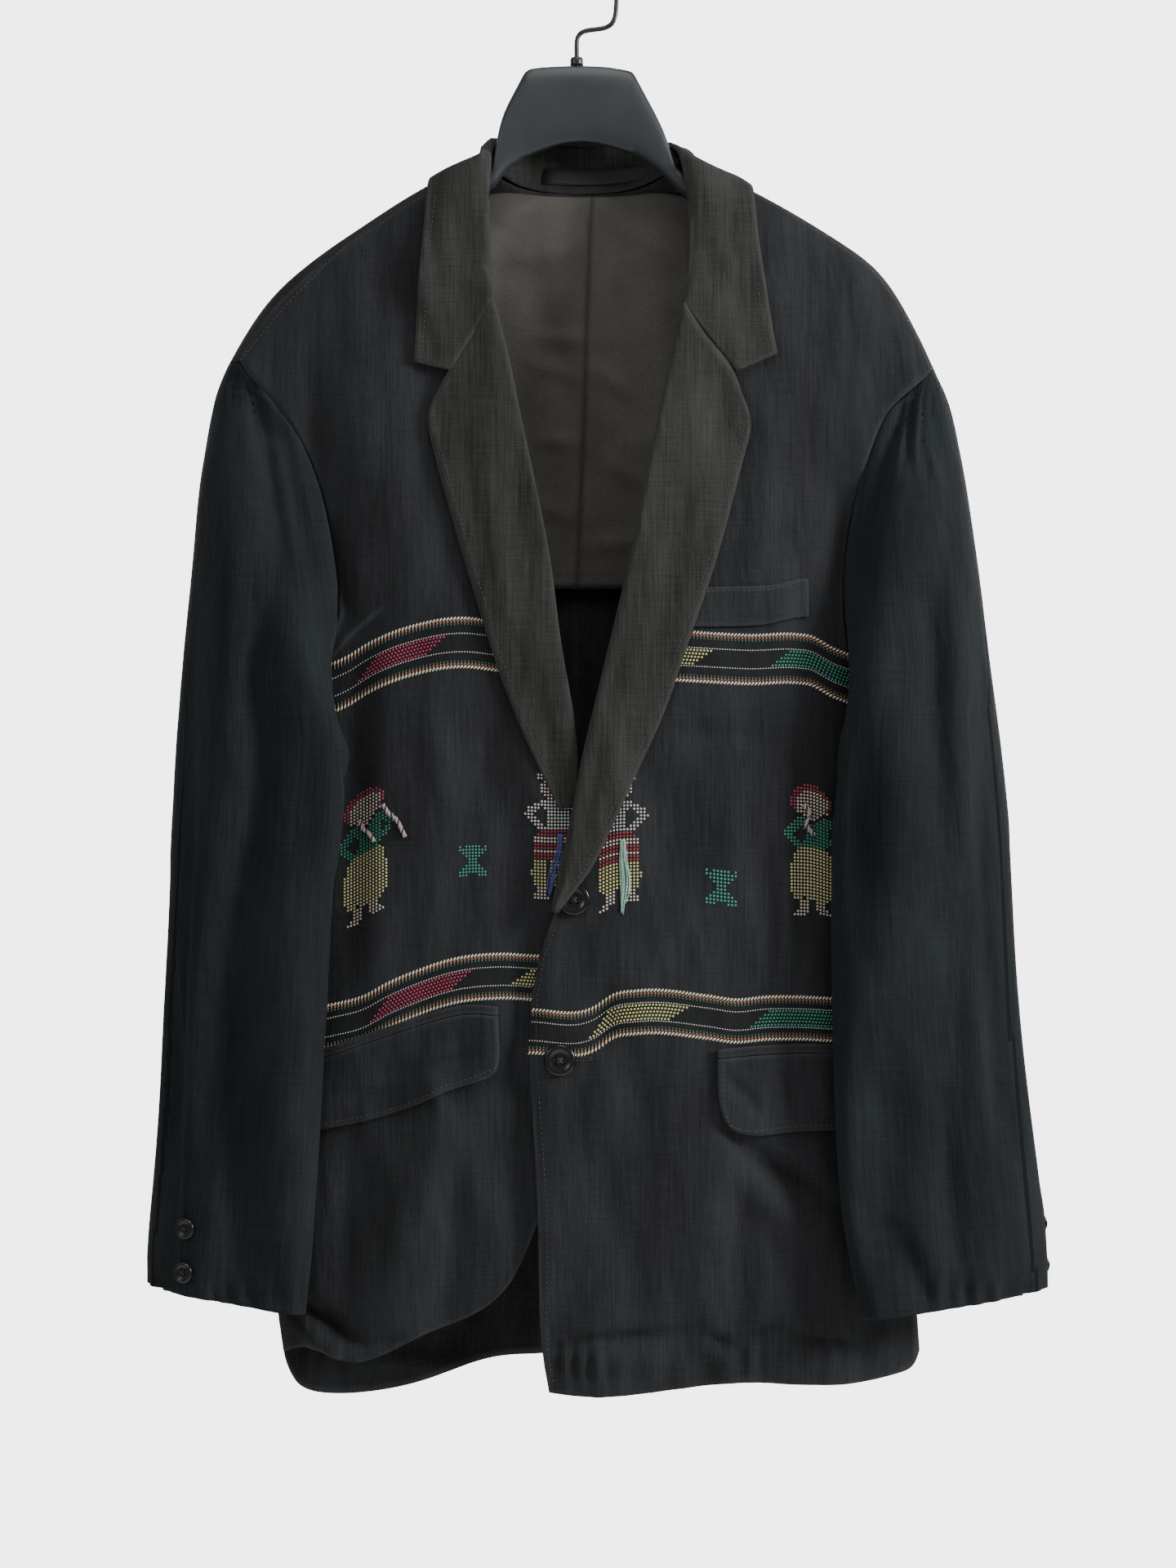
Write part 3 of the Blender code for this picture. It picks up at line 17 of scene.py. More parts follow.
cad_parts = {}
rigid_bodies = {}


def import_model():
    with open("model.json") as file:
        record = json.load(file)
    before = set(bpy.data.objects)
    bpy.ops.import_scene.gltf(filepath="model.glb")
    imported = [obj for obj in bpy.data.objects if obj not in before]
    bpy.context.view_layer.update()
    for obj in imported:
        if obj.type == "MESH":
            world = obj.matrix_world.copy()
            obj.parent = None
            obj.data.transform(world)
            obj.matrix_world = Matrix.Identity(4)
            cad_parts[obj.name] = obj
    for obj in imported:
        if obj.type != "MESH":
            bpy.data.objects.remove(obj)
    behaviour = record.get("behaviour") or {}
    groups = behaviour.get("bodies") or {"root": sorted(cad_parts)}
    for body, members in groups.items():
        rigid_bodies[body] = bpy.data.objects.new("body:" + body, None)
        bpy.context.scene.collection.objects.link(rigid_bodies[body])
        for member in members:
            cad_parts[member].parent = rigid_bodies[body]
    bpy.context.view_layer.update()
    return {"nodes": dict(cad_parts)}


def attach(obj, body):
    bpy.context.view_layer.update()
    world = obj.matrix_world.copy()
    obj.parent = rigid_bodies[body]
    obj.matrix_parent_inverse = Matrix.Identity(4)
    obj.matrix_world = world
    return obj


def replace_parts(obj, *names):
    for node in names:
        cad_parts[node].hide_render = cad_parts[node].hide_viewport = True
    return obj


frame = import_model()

bl_info = {
    "name": "Brocaded Jacket on a Hanger",
    "version": (1, 0, 0),
    "blender": (4, 5, 0),
    "location": "View3D > Sidebar > Jacket",
    "description": "Dresses the packed jacket with woven cloth, brocade, buttons, threads and a hanger",
    "category": "Object",
}

MM = 0.001


def linear(hex_colour):
    """An sRGB colour such as 3a3a3c as linear red, green and blue."""
    parts = [int(hex_colour[i : i + 2], 16) / 255 for i in (0, 2, 4)]
    return tuple(p / 12.92 if p <= 0.04045 else ((p + 0.055) / 1.055) ** 2.4 for p in parts)


def table(columns, *rows):
    """Rows of numbers by the names of their columns."""
    names = columns.split()
    return [dict(zip(names, row)) for row in rows]


def ease(t):
    """A smooth step from 0 to 1."""
    t = np.clip(t, 0, 1)
    return t * t * (3 - 2 * t)


def colour_property(name, text, hex_colour):
    """A colour that the user can change."""
    return bpy.props.FloatVectorProperty(
        name=name, description=text, subtype="COLOR", size=3, min=0, max=1, default=linear(hex_colour)
    )


def size_property(name, text, millimetres):
    """A length that the user can change."""
    return bpy.props.FloatProperty(
        name=name, description=text, subtype="DISTANCE", unit="LENGTH", min=0, default=millimetres * MM
    )


def plain_property(name, text, value, unit="NONE"):
    """A number that the user can change."""
    return bpy.props.FloatProperty(name=name, description=text, default=value, unit=unit)


class JacketCloth(bpy.types.PropertyGroup):
    """Colours of the cloths, and how deep their creases are."""

    front: colour_property("Fronts and back", "Charcoal of the body's cloth", "28292b")
    collar: colour_property("Collar and lapels", "Warm grey of the collar", "31312f")
    sleeve: colour_property("Sleeves", "Blue-green black of the sleeves", "1e2225")
    lining: colour_property("Half lining", "Brown grey of the lining", "524f4a")
    label: colour_property("Neck label", "Black of the blank label", "0d0d0f")
    creases: bpy.props.FloatProperty(
        name="Creases", description="Depth of the creases, as a multiple of their tables", subtype="FACTOR",
        min=0, max=3, default=2.1,
    )
    thread: size_property("Thread spacing", "Spacing of the drawn threads", 1.5)


class JacketBrocade(bpy.types.PropertyGroup):
    """Sizes and colours of the supplementary-weft brocade."""

    bead: size_property("Stitch spacing", "Spacing of the brocade's small square stitches", 2.25)
    rope: size_property("Rope spacing", "Spacing of the slanted stitches along a band", 2.3)
    dot: size_property("Dot spacing", "Spacing of the fine dotted lines", 1.7)
    cream: colour_property("Cream", "Outer rope of a band", "f2e8cb")
    rust: colour_property("Rust", "Middle rope of a band", "bb7651")
    green: colour_property("Green", "Inner rope of a band", "34705c")
    grey: colour_property("Grey white", "Dotted lines and shirts", "dededb")
    crimson: colour_property("Crimson", "First lozenge, hair and stripes", "bd2c56")
    yellow: colour_property("Yellow", "Second lozenge and skirts", "e4e08e")
    teal: colour_property("Teal", "Third lozenge and blouses", "25a283")
    skin: colour_property("Cream pink", "Faces", "f0dbc8")
    red: colour_property("Red", "Stripes of the wraps", "b5223b")


class JacketFittings(bpy.types.PropertyGroup):
    """Buttons, threads and hanger."""

    button: colour_property("Buttons", "Black resin", "0e0e0f")
    sewing: colour_property("Sewing thread", "Topstitching", "434342")
    blue: colour_property("Blue thread", "Tassel at the lap", "43549c")
    mint: colour_property("Mint thread", "Tassel on the left front", "a9d6c4")
    plait: colour_property("Plait thread", "White and pink plaits", "d8c8c4")
    hanger: colour_property("Hanger", "Black moulded plastic", "2e3235")
    steel: colour_property("Hook", "Blackened wire", "4a4a4c")


class JacketStage(bpy.types.PropertyGroup):
    """Floor, light and camera."""

    background: colour_property("Background", "Pale wall and floor", "f1f1f0")
    distance: size_property("Camera distance", "From the camera to the plane of the fronts", 2000)
    camera_x: plain_property("Camera side", "Camera's X", 0.0076, "LENGTH")
    camera_z: plain_property("Camera height", "Camera's Z", -0.555, "LENGTH")
    lens: plain_property("Lens", "Focal length in millimetres for a 36 mm high frame", 69.4)
    room_light: plain_property("Room light", "Light from all round", 0.32)
    backdrop: plain_property("Backdrop", "Brightness of the pale wall", 5.0)
    floor: plain_property("Floor", "Height of the floor", -1.6, "LENGTH")


# Materials

def add(tree, kind, inputs=None, **values):
    """Adds a node with its settings; an input is a value, or a socket that is linked to it."""
    node = tree.nodes.new(kind)
    for key, value in values.items():
        setattr(node, key, value)
    for key, value in (inputs or {}).items():
        if isinstance(value, bpy.types.NodeSocket):
            tree.links.new(value, node.inputs[key])
        else:
            node.inputs[key].default_value = value
    return node


def start_material(name, roughness, ior=1.5):
    """A new material with its shader: (material, tree, shader)."""
    made = bpy.data.materials.new(name)
    made.use_nodes = True
    tree = made.node_tree
    shader = tree.nodes["Principled BSDF"]
    shader.inputs["Roughness"].default_value = roughness
    shader.inputs["IOR"].default_value = ior
    return made, tree, shader


def math_node(tree, operation, first, second=0.0, third=0.0):
    """The result of a sum on values or sockets."""
    return add(tree, "ShaderNodeMath", {0: first, 1: second, 2: third}, operation=operation).outputs[0]


def mixed(tree, factor, first, second):
    """A colour between two, by a factor."""
    node = add(tree, "ShaderNodeMix", {"Factor": factor}, data_type="RGBA")
    for socket, value in ((node.inputs[6], first), (node.inputs[7], second)):
        if isinstance(value, bpy.types.NodeSocket):
            tree.links.new(value, socket)
        else:
            socket.default_value = value
    return node.outputs[2]


def shaded(colour, share):
    """The colour made lighter or darker, as an opaque one."""
    return tuple(min(1.0, c * share) for c in colour[:3]) + (1.0,)


# Cells of the cloth's patterns in a metre, across and up the cloth.
SLUBS = (760.0, 20.0, 1.0)  # thick and thin yarns 1.3 mm wide and 50 mm long
PICKS = (40.0, 900.0, 1.0)  # thick and thin weft 25 mm long and 1.1 mm high
FADING = (26.0, 8.0, 1.0)  # faded patches 40 mm wide and 125 mm high
CRUMPLING = (60.0, 22.0, 1.0)  # soft crumples 17 mm wide and 45 mm high
CLOTH_ROUGHNESS = 0.88


def patterned(tree, place, scale, detail):
    """The value of a noise pattern with its own scale in each direction."""
    cells = add(tree, "ShaderNodeMapping", {0: place, "Scale": scale}).outputs[0]
    return add(tree, "ShaderNodeTexNoise", {"Vector": cells, "Scale": 1.0, "Detail": detail}).outputs[0]


def threads_of(tree, pitch):
    """The cloth's map, its two directions, and the rise of its warp and of its weft."""
    uv = add(tree, "ShaderNodeUVMap", uv_map="weave").outputs[0]
    parts = add(tree, "ShaderNodeSeparateXYZ", {0: uv})
    turns = 2 * math.pi / pitch
    across, along = parts.outputs[0], parts.outputs[1]
    warp, weft = (math_node(tree, "SINE", math_node(tree, "MULTIPLY", way, turns)) for way in (across, along))
    return uv, across, along, warp, weft


def woven_cloth(name, colour, pitch, twill, slub, sheen, worn=1.9):
    """Cotton and wool in plain weave or twill, washed soft: matt, with darker and lighter yarns that run up the
    cloth, a thread pattern as coarse as the render can show, broad fading, and pale worn edges."""
    made, tree, shader = start_material(name, CLOTH_ROUGHNESS)
    uv, across, along, warp, weft = threads_of(tree, pitch)
    wale = 0.8 * 2 * math.pi / pitch
    slant = math_node(tree, "MULTIPLY_ADD", across, wale, math_node(tree, "MULTIPLY", along, wale))
    thread = math_node(tree, "SINE", slant) if twill else math_node(tree, "MULTIPLY", warp, weft)
    # Slubs show most up the cloth and half as much across it, and fading makes soft patches.
    up = patterned(tree, uv, SLUBS, 3.0)
    cross = patterned(tree, uv, PICKS, 2.0)
    fading = patterned(tree, uv, FADING, 5.0)
    streak = math_node(tree, "MULTIPLY_ADD", up, 0.65, math_node(tree, "MULTIPLY", cross, 0.35))
    centred = math_node(tree, "MULTIPLY", math_node(tree, "SUBTRACT", streak, 0.5), slub)
    tone = math_node(tree, "MULTIPLY_ADD", thread, 0.26, math_node(tree, "ADD", centred, 0.5))
    tone = math_node(tree, "MULTIPLY_ADD", math_node(tree, "SUBTRACT", fading, 0.5), 1.5, tone)
    ramp = add(tree, "ShaderNodeMapRange", {0: tone, 1: 0.0, 2: 1.0}, clamp=True)
    base = mixed(tree, ramp.outputs[0], shaded(colour, 0.42), shaded(colour, 1.62))
    wear = add(tree, "ShaderNodeAttribute", attribute_name="wear").outputs["Fac"]
    base = mixed(tree, wear, base, shaded(colour, worn))
    ground = add(tree, "ShaderNodeAttribute", attribute_name="ground").outputs["Fac"]
    base = mixed(tree, ground, base, shaded(colour, 0.6))
    tree.links.new(base, shader.inputs["Base Color"])
    rough = add(tree, "ShaderNodeMapRange", {0: streak, 3: 0.8, 4: 0.97})
    tree.links.new(rough.outputs[0], shader.inputs["Roughness"])
    # Washing leaves the cloth softly crumpled.
    crumple = patterned(tree, uv, CRUMPLING, 4.0)
    soft = add(tree, "ShaderNodeBump", {"Strength": 0.9, "Distance": 3.6 * MM, "Height": crumple})
    height = math_node(tree, "MULTIPLY_ADD", thread, 0.5, math_node(tree, "MULTIPLY", centred, 1.4))
    bump = add(
        tree, "ShaderNodeBump",
        {"Strength": 0.55, "Distance": 0.35 * MM, "Height": height, "Normal": soft.outputs[0]},
    )
    tree.links.new(bump.outputs[0], shader.inputs["Normal"])
    shader.inputs["Sheen Weight"].default_value = sheen
    shader.inputs["Sheen Roughness"].default_value = 0.6
    shader.inputs["Specular IOR Level"].default_value = 0.12
    return made


def lining_cloth(name, colour, pitch, roughness=0.75):
    """Thin plain-woven cotton, ironed: finer and smoother than the shell, slightly shiny and softly mottled, with
    painted shade that darkens its rims.
    """
    made, tree, shader = start_material(name, roughness)
    uv, _, _, warp, weft = threads_of(tree, pitch)
    thread = math_node(tree, "MULTIPLY", warp, weft)
    # Mottles are 26 mm wide.
    mottle = add(tree, "ShaderNodeTexNoise", {"Vector": uv, "Scale": 38.0, "Detail": 5.0, "Roughness": 0.65})
    tone = math_node(tree, "MULTIPLY_ADD", thread, 0.05, mottle.outputs[0])
    base = mixed(tree, tone, shaded(colour, 0.62), shaded(colour, 1.38))
    # Painted shade: near its rims the colour is darkened to 0.6 of itself, as shade at the seams where the lining
    # and label meet their neighbours.
    wear = add(tree, "ShaderNodeAttribute", attribute_name="wear").outputs["Fac"]
    base = mixed(tree, wear, base, shaded(colour, 0.6))
    tree.links.new(base, shader.inputs["Base Color"])
    height = math_node(tree, "MULTIPLY_ADD", mottle.outputs[0], 3.0, thread)
    bump = add(tree, "ShaderNodeBump", {"Strength": 0.35, "Distance": 0.5 * MM, "Height": height})
    tree.links.new(bump.outputs[0], shader.inputs["Normal"])
    shader.inputs["Sheen Weight"].default_value = 0.08
    return made


THREAD_ROUGHNESS = 0.62
THREAD_TWIST = 1.1  # millimetres for a turn


def spun_thread(name, colour=None):
    """Mercerised cotton thread: a soft silky gloss, with the fine slanted ridges of its twist. Without a colour
    it takes the one that each stitch carries."""
    made, tree, shader = start_material(name, THREAD_ROUGHNESS)
    if colour is None:
        paint = add(tree, "ShaderNodeAttribute", attribute_name="thread").outputs["Color"]
    else:
        paint = (*colour[:3], 1)
    place = add(tree, "ShaderNodeTexCoord").outputs["Object"]
    # Darker lint in specks of 1.1 mm.
    lint = add(tree, "ShaderNodeTexNoise", {"Vector": place, "Scale": 900.0, "Detail": 2.0})
    shade = add(tree, "ShaderNodeMapRange", {0: lint.outputs[0], 3: 0.35, 4: 0.0})
    tree.links.new(mixed(tree, shade.outputs[0], paint, (0.01, 0.01, 0.01, 1)), shader.inputs["Base Color"])
    turns = 2 * math.pi / (THREAD_TWIST * MM)
    parts = add(tree, "ShaderNodeSeparateXYZ", {0: place})
    upward = math_node(tree, "MULTIPLY", parts.outputs[2], turns)
    ridge = math_node(tree, "SINE", math_node(tree, "MULTIPLY_ADD", parts.outputs[0], turns, upward))
    bump = add(tree, "ShaderNodeBump", {"Strength": 0.4, "Distance": 0.2 * MM, "Height": ridge})
    tree.links.new(bump.outputs[0], shader.inputs["Normal"])
    shader.inputs["Sheen Weight"].default_value = 0.2
    return made


def moulded_plastic(name, colour, roughness, grain):
    """Injection-moulded ABS or cast resin: even dark colour, satin gloss, a very fine pebble, faint rubbing."""
    made, tree, shader = start_material(name, roughness, 1.53)
    place = add(tree, "ShaderNodeTexCoord").outputs["Object"]
    # Rubbing in patches of 33 mm.
    rub = add(tree, "ShaderNodeTexNoise", {"Vector": place, "Scale": 30.0, "Detail": 6.0})
    tree.links.new(
        mixed(tree, rub.outputs[0], shaded(colour, 0.8), shaded(colour, 1.25)), shader.inputs["Base Color"]
    )
    rough = add(tree, "ShaderNodeMapRange", {0: rub.outputs[0], 3: roughness - 0.07, 4: roughness + 0.1})
    tree.links.new(rough.outputs[0], shader.inputs["Roughness"])
    # The grain is the width of the mould's pebble in millimetres.
    pebble = add(tree, "ShaderNodeTexNoise", {"Vector": place, "Scale": 1 / (grain * MM), "Detail": 1.0})
    bump = add(tree, "ShaderNodeBump", {"Strength": 0.12, "Distance": 0.2 * MM, "Height": pebble.outputs[0]})
    tree.links.new(bump.outputs[0], shader.inputs["Normal"])
    return made


def blackened_wire(name, colour):
    """Drawn steel wire with a black oxide: a dark metal with small brighter rubs, 6 mm long."""
    made, tree, shader = start_material(name, 0.38)
    shader.inputs["Metallic"].default_value = 1.0
    place = add(tree, "ShaderNodeTexCoord").outputs["Object"]
    rub = add(tree, "ShaderNodeTexNoise", {"Vector": place, "Scale": 160.0, "Detail": 4.0})
    base = mixed(tree, rub.outputs[0], shaded(colour, 0.55), shaded(colour, 1.5))
    tree.links.new(base, shader.inputs["Base Color"])
    rough = add(tree, "ShaderNodeMapRange", {0: rub.outputs[0], 3: 0.28, 4: 0.5})
    tree.links.new(rough.outputs[0], shader.inputs["Roughness"])
    return made


# Creases, placed one by one from the photograph, and in the same manner where nothing shows. One runs from
# (x1, z1) to (x2, z2), in millimetres. On a sleeve its x is a turn in degrees: 0 is the outer edge, 90 the front
# and 180 the side next to the body. A negative rise is a trough.

CREASE = "x1 z1 x2 z2 width rise"
FRONT_CREASES = table(
    CREASE,
    (104, -790, 172, -836, 7, -4.2),
    (100, -812, 168, -862, 12, 2.6),
    (124, -604, 132, -690, 9, -2.2),
    (140, -600, 136, -690, 8, 1.6),
    (84, -800, 80, -915, 14, 2.6),
    (108, -815, 104, -920, 12, -2.2),
    (36, -800, 30, -930, 18, -2),
    (-14, -926, 78, -918, 5, -2.6),
    (84, -919, 104, -931, 5, -2.6),
    (106, -926, 138, -914, 5, -2.4),
    (140, -922, 190, -930, 5, -2.4),
    (-4, -938, 62, -934, 8, 2),
    (-195, -896, -144, -928, 6, -4.4),
    (-192, -914, -150, -944, 8, 3),
    (-144, -928, -80, -920, 6, -2.8),
    (-80, -920, -46, -909, 6, -2.2),
    (-36, -580, -36, -905, 18, -3.2),
    (-80, -804, -88, -920, 12, -2.6),
    (-112, -793, -122, -920, 16, 2.2),
    (-150, -793, -154, -900, 10, -2.2),
    (-171, -262, -163, -415, 15, -3),
    (-138, -243, -127, -415, 24, 2.2),
    (170, -296, 180, -415, 14, -3),
    (124, -339, 126, -415, 12, 1.6),
    (96, -260, 102, -400, 18, -1.6),
    (-144, -437, -149, -717, 13, -3),
    (-128, -470, -131, -700, 12, 1.4),
    (16, -685, 16, -735, 10, -2),
    (50, -680, 52, -740, 20, 1.6),
    (99, -748, 121, -772, 5, -1.4),
    (140, -742, 147, -780, 6, -1.2),
    (160, -745, 172, -778, 6, 1.1),
    (-127, -750, -63, -734, 5, -1.4),
    (-154, -766, -122, -758, 5, -1.3),
    (-100, -745, -88, -775, 6, 1.2),
    (-165, -383, -152, -448, 8, -2.6),
    (60, -520, 118, -524, 7, -0.9),
    (58, -482, 96, -476, 6, -0.8),
    (40, -640, 46, -690, 12, -1.4),
    (172, -640, 176, -700, 10, -2.4),
    (-60, -470, -58, -640, 20, -1.8),
    (-88, -430, -96, -600, 16, 1.6),
)
LAPEL_CREASES = table(
    CREASE,
    (-79, -318, -57, -415, 9, -1.1),
    (-62, -352, -40, -470, 8, 0.9),
    (-34, -470, -8, -560, 8, -0.8),
    (78, -340, 51, -447, 9, -1.1),
    (96, -330, 72, -400, 7, 0.9),
    (52, -430, 20, -540, 8, 0.9),
    (20, -520, 0, -590, 7, -0.8),
    (-96, -226, -60, -232, 5, -0.7),
    (90, -226, 126, -236, 5, -0.7),
    (88, -180, 104, -220, 6, 0.8),
    (-92, -170, -84, -216, 6, 0.8),
)
BACK_CREASES = table(
    CREASE,
    (-60, -170, -110, -260, 18, -2.5),
    (62, -170, 118, -262, 18, -2.5),
    (-168, -330, -150, -520, 16, 3.2),
    (172, -330, 156, -540, 16, 3.2),
    (-130, -470, -120, -800, 22, -3.2),
    (128, -500, 120, -820, 22, -3.4),
    (-70, -560, -82, -930, 20, 3),
    (74, -600, 84, -930, 20, 2.8),
    (-24, -700, -30, -930, 14, -2.4),
    (34, -690, 38, -940, 14, -2.2),
    (-180, -640, -172, -900, 14, -2.6),
    (184, -640, 176, -900, 14, -2.6),
    (-150, -948, -60, -956, 6, -1.8),
    (30, -942, 140, -948, 6, -1.8),
    (-104, -300, -40, -330, 10, -1.6),
    (40, -322, 110, -300, 10, -1.4),
)
LINING_CREASES = table(
    CREASE,
    (-58, -172, -26, -158, 6, 1.2),
    (-52, -196, 4, -190, 7, 0.9),
    (-30, -248, 8, -252, 5, 1.1),
    (-34, -266, 2, -276, 5, 0.9),
    (12, -268, 36, -290, 6, 1.1),
    (-28, -318, 4, -322, 5, 0.9),
    (18, -330, 48, -352, 6, 0.9),
    (-34, -362, -2, -372, 6, 0.9),
    (6, -392, 58, -386, 5, 1.0),
    (30, -170, 62, -196, 7, 1.1),
    (-64, -300, -50, -400, 9, 1.0),
    (56, -250, 66, -380, 9, 1.0),
)
SLEEVE_CREASES = {
    "right": table(
        CREASE,
        (105, -292, 108, -420, 9, -4.2),
        (126, -308, 136, -430, 7, -3),
        (96, -425, 90, -610, 12, -5),
        (90, -605, 97, -868, 13, -5.2),
        (121, -500, 120, -620, 9, -3),
        (68, -340, 63, -600, 16, 3),
        (114, -580, 112, -860, 12, 2.8),
        (75, -640, 66, -820, 14, -2.8),
        (40, -420, 36, -760, 16, 2.2),
        (60, -276, 62, -306, 4, -1.8),
        (73, -274, 75, -310, 4, -2.2),
        (86, -276, 87, -308, 4, -2),
        (99, -280, 100, -322, 4, -2.4),
        (113, -286, 115, -326, 4, -2.4),
        (255, -330, 262, -600, 14, -4),
        (285, -480, 276, -860, 14, -4),
        (236, -620, 240, -880, 12, -3.4),
        (304, -350, 306, -660, 14, 3),
        (268, -600, 258, -860, 12, 3),
        (330, -620, 322, -860, 12, -2.6),
        (20, -560, 16, -840, 12, -2.4),
        (150, -700, 146, -880, 10, -2.4),
    ),
    "left": table(
        CREASE,
        (127, -306, 148, -425, 8, -4.2),
        (119, -294, 122, -334, 5, -2.6),
        (104, -287, 103, -345, 5, -3),
        (84, -284, 78, -352, 5, -2.6),
        (66, -290, 58, -344, 5, -2.2),
        (94, -286, 92, -322, 4, 1.4),
        (131, -490, 128, -665, 10, -4.2),
        (121, -710, 124, -882, 9, -4.2),
        (88, -765, 86, -885, 9, -3.2),
        (104, -510, 104, -745, 14, 3.2),
        (55, -410, 52, -745, 18, 2.8),
        (78, -410, 76, -590, 12, -2.8),
        (127, -834, 110, -893, 6, -3),
        (64, -640, 70, -830, 14, -2.4),
        (30, -560, 26, -850, 12, -2.2),
        (250, -330, 258, -600, 14, -4),
        (282, -470, 275, -860, 14, -4),
        (240, -640, 236, -880, 12, -3.4),
        (302, -360, 308, -640, 14, 3),
        (262, -610, 256, -860, 12, 3),
        (334, -600, 324, -860, 12, -2.4),
    ),
}
# The pull of the hem's stitching: short puckers round each cuff, by turn in degrees.
CUFF_PUCKERS = (8, 27, 41, 60, 78, 92, 108, 121, 139, 160, 184, 203, 219, 240, 262, 281, 301, 322, 343)
HEM_PUCKER = 17.0  # usual spacing along the jacket's hem
HEM_LINE, HEM_REACH = -936, 12  # height of the hem's stitching, and how far its puckers reach
BUTTON_HOLD, BUTTON_EASE = 11, 22  # from a button's middle, cloth held flat and then let go
SLEEVE_RADIUS = 43  # turns a place round a sleeve into a length
SLEEVE_TOP = -262
RING_STEP = 16.0
SLEEVE_HEIGHTS = np.arange(-905.0, -265.0, RING_STEP)


def crease_rise(rows, a, b):
    """How far the creases lift or sink the cloth at each point (a, b)."""
    total = np.zeros(len(a))
    for row in rows:
        da, db = row["x2"] - row["x1"], row["z2"] - row["z1"]
        share = np.clip(((a - row["x1"]) * da + (b - row["z1"]) * db) / (da * da + db * db), 0, 1)
        away = np.hypot(a - row["x1"] - share * da, b - row["z1"] - share * db)
        total += row["rise"] * np.exp(-((away / row["width"]) ** 2)) * (0.3 + 0.7 * np.sin(math.pi * share))
    return total


def held_flat(x, y, z):
    """0 under each button, where the cloth is held flat, and 1 away from them all."""
    keep = np.ones(len(x))
    for name, node in frame["nodes"].items():
        if "button" in name:
            centre = sum((node.matrix_world @ Vector(corner) for corner in node.bound_box), Vector()) / 8 / MM
            away = np.sqrt((x - centre.x) ** 2 + (y - centre.y) ** 2 + (z - centre.z) ** 2)
            keep = np.minimum(keep, ease((away - BUTTON_HOLD) / BUTTON_EASE))
    return keep


def body_rise(x, y, z, extra=()):
    """The creases of the fronts, or of the back, with small crumples all over and the hem's puckers. All fade
    out where front and back meet at the sides."""
    front = crease_rise([*FRONT_CREASES, *extra], x, z) * ease((-y - 2) / 22)
    back = crease_rise(BACK_CREASES, x, z) * ease((y - 2) / 14)
    crumple = 0.35 * np.sin(x / 6.1 + 1.9 * np.sin(z / 43)) * np.sin(z / 37 + 1.3 * np.sin(x / 29))
    crumple += 0.3 * np.sin(x / 11.3 + z / 71 + 1.1) * np.sin(z / 23 + x / 40)
    pucker = np.sin(2 * math.pi * x / HEM_PUCKER + 3.1 * np.sin(x / 23) + 1.1 * np.sin(x / 9.7))
    hem_away = z - HEM_LINE + 7 * np.sin(x / 37)
    pucker *= (0.55 + 0.45 * np.sin(x / 14.3 + 1)) * np.exp(-((hem_away / HEM_REACH) ** 2))
    return (front + back + (pucker + crumple) * ease((np.abs(y) - 2) / 18)) * held_flat(x, y, z)


# Cloth

def settled_mesh(obj):
    """The mesh of an object with its modifiers applied."""
    return bpy.data.meshes.new_from_object(obj.evaluated_get(bpy.context.evaluated_depsgraph_get()))


def mesh_of(bm, name):
    """A mesh from a bmesh, which is let go."""
    mesh = bpy.data.meshes.new(name)
    bm.to_mesh(mesh)
    bm.free()
    return mesh


def linked(name, data):
    """A new object in the scene."""
    obj = bpy.data.objects.new(name, data)
    bpy.context.scene.collection.objects.link(obj)
    return obj


def new_piece(name, mesh, material):
    """A visible piece that rides on the jacket."""
    mesh.name = name
    mesh.materials.clear()
    mesh.materials.append(material)
    obj = linked(name, mesh)
    mesh.polygons.foreach_set("use_smooth", np.ones(len(mesh.polygons), bool))
    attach(obj, "root")
    return obj


RIM_ANGLE = math.radians(55)  # faces that turn more than this meet at a rim
RIM_STEP = 1.2  # between the points that mark the rims
LONG_CELL = 11.5  # a cell longer than this is cut finer
MERGE = 1e-5
# Half the width of the body's flat part and of the whole body, and half the body's depth.
FLAT_HALF, BODY_HALF, HALF_DEPTH = 150, 205, 45
# How far each kind of piece is let out in its own surface, so that it meets its neighbours at the seams.
BODY_SEAM, SLEEVE_SEAM, COLLAR_SEAM = 0.18, 0.44, 0.8


def on_rim(edge):
    """Whether an edge is a rim."""
    return len(edge.link_faces) == 2 and edge.calc_face_angle() > RIM_ANGLE


def rounded(mesh):
    """The mesh subdivided once, with its sharp rims kept."""
    bm = bmesh.new()
    bm.from_mesh(mesh)
    sharp = bm.edges.layers.float.get("crease_edge") or bm.edges.layers.float.new("crease_edge")
    for edge in bm.edges:
        edge[sharp] = float(on_rim(edge))
    bm.to_mesh(mesh)
    bm.free()
    holder = linked("draft", mesh)
    smooth = holder.modifiers.new("smooth", "SUBSURF")
    smooth.levels = smooth.render_levels = 1
    made = settled_mesh(holder)
    bpy.data.objects.remove(holder)
    return made


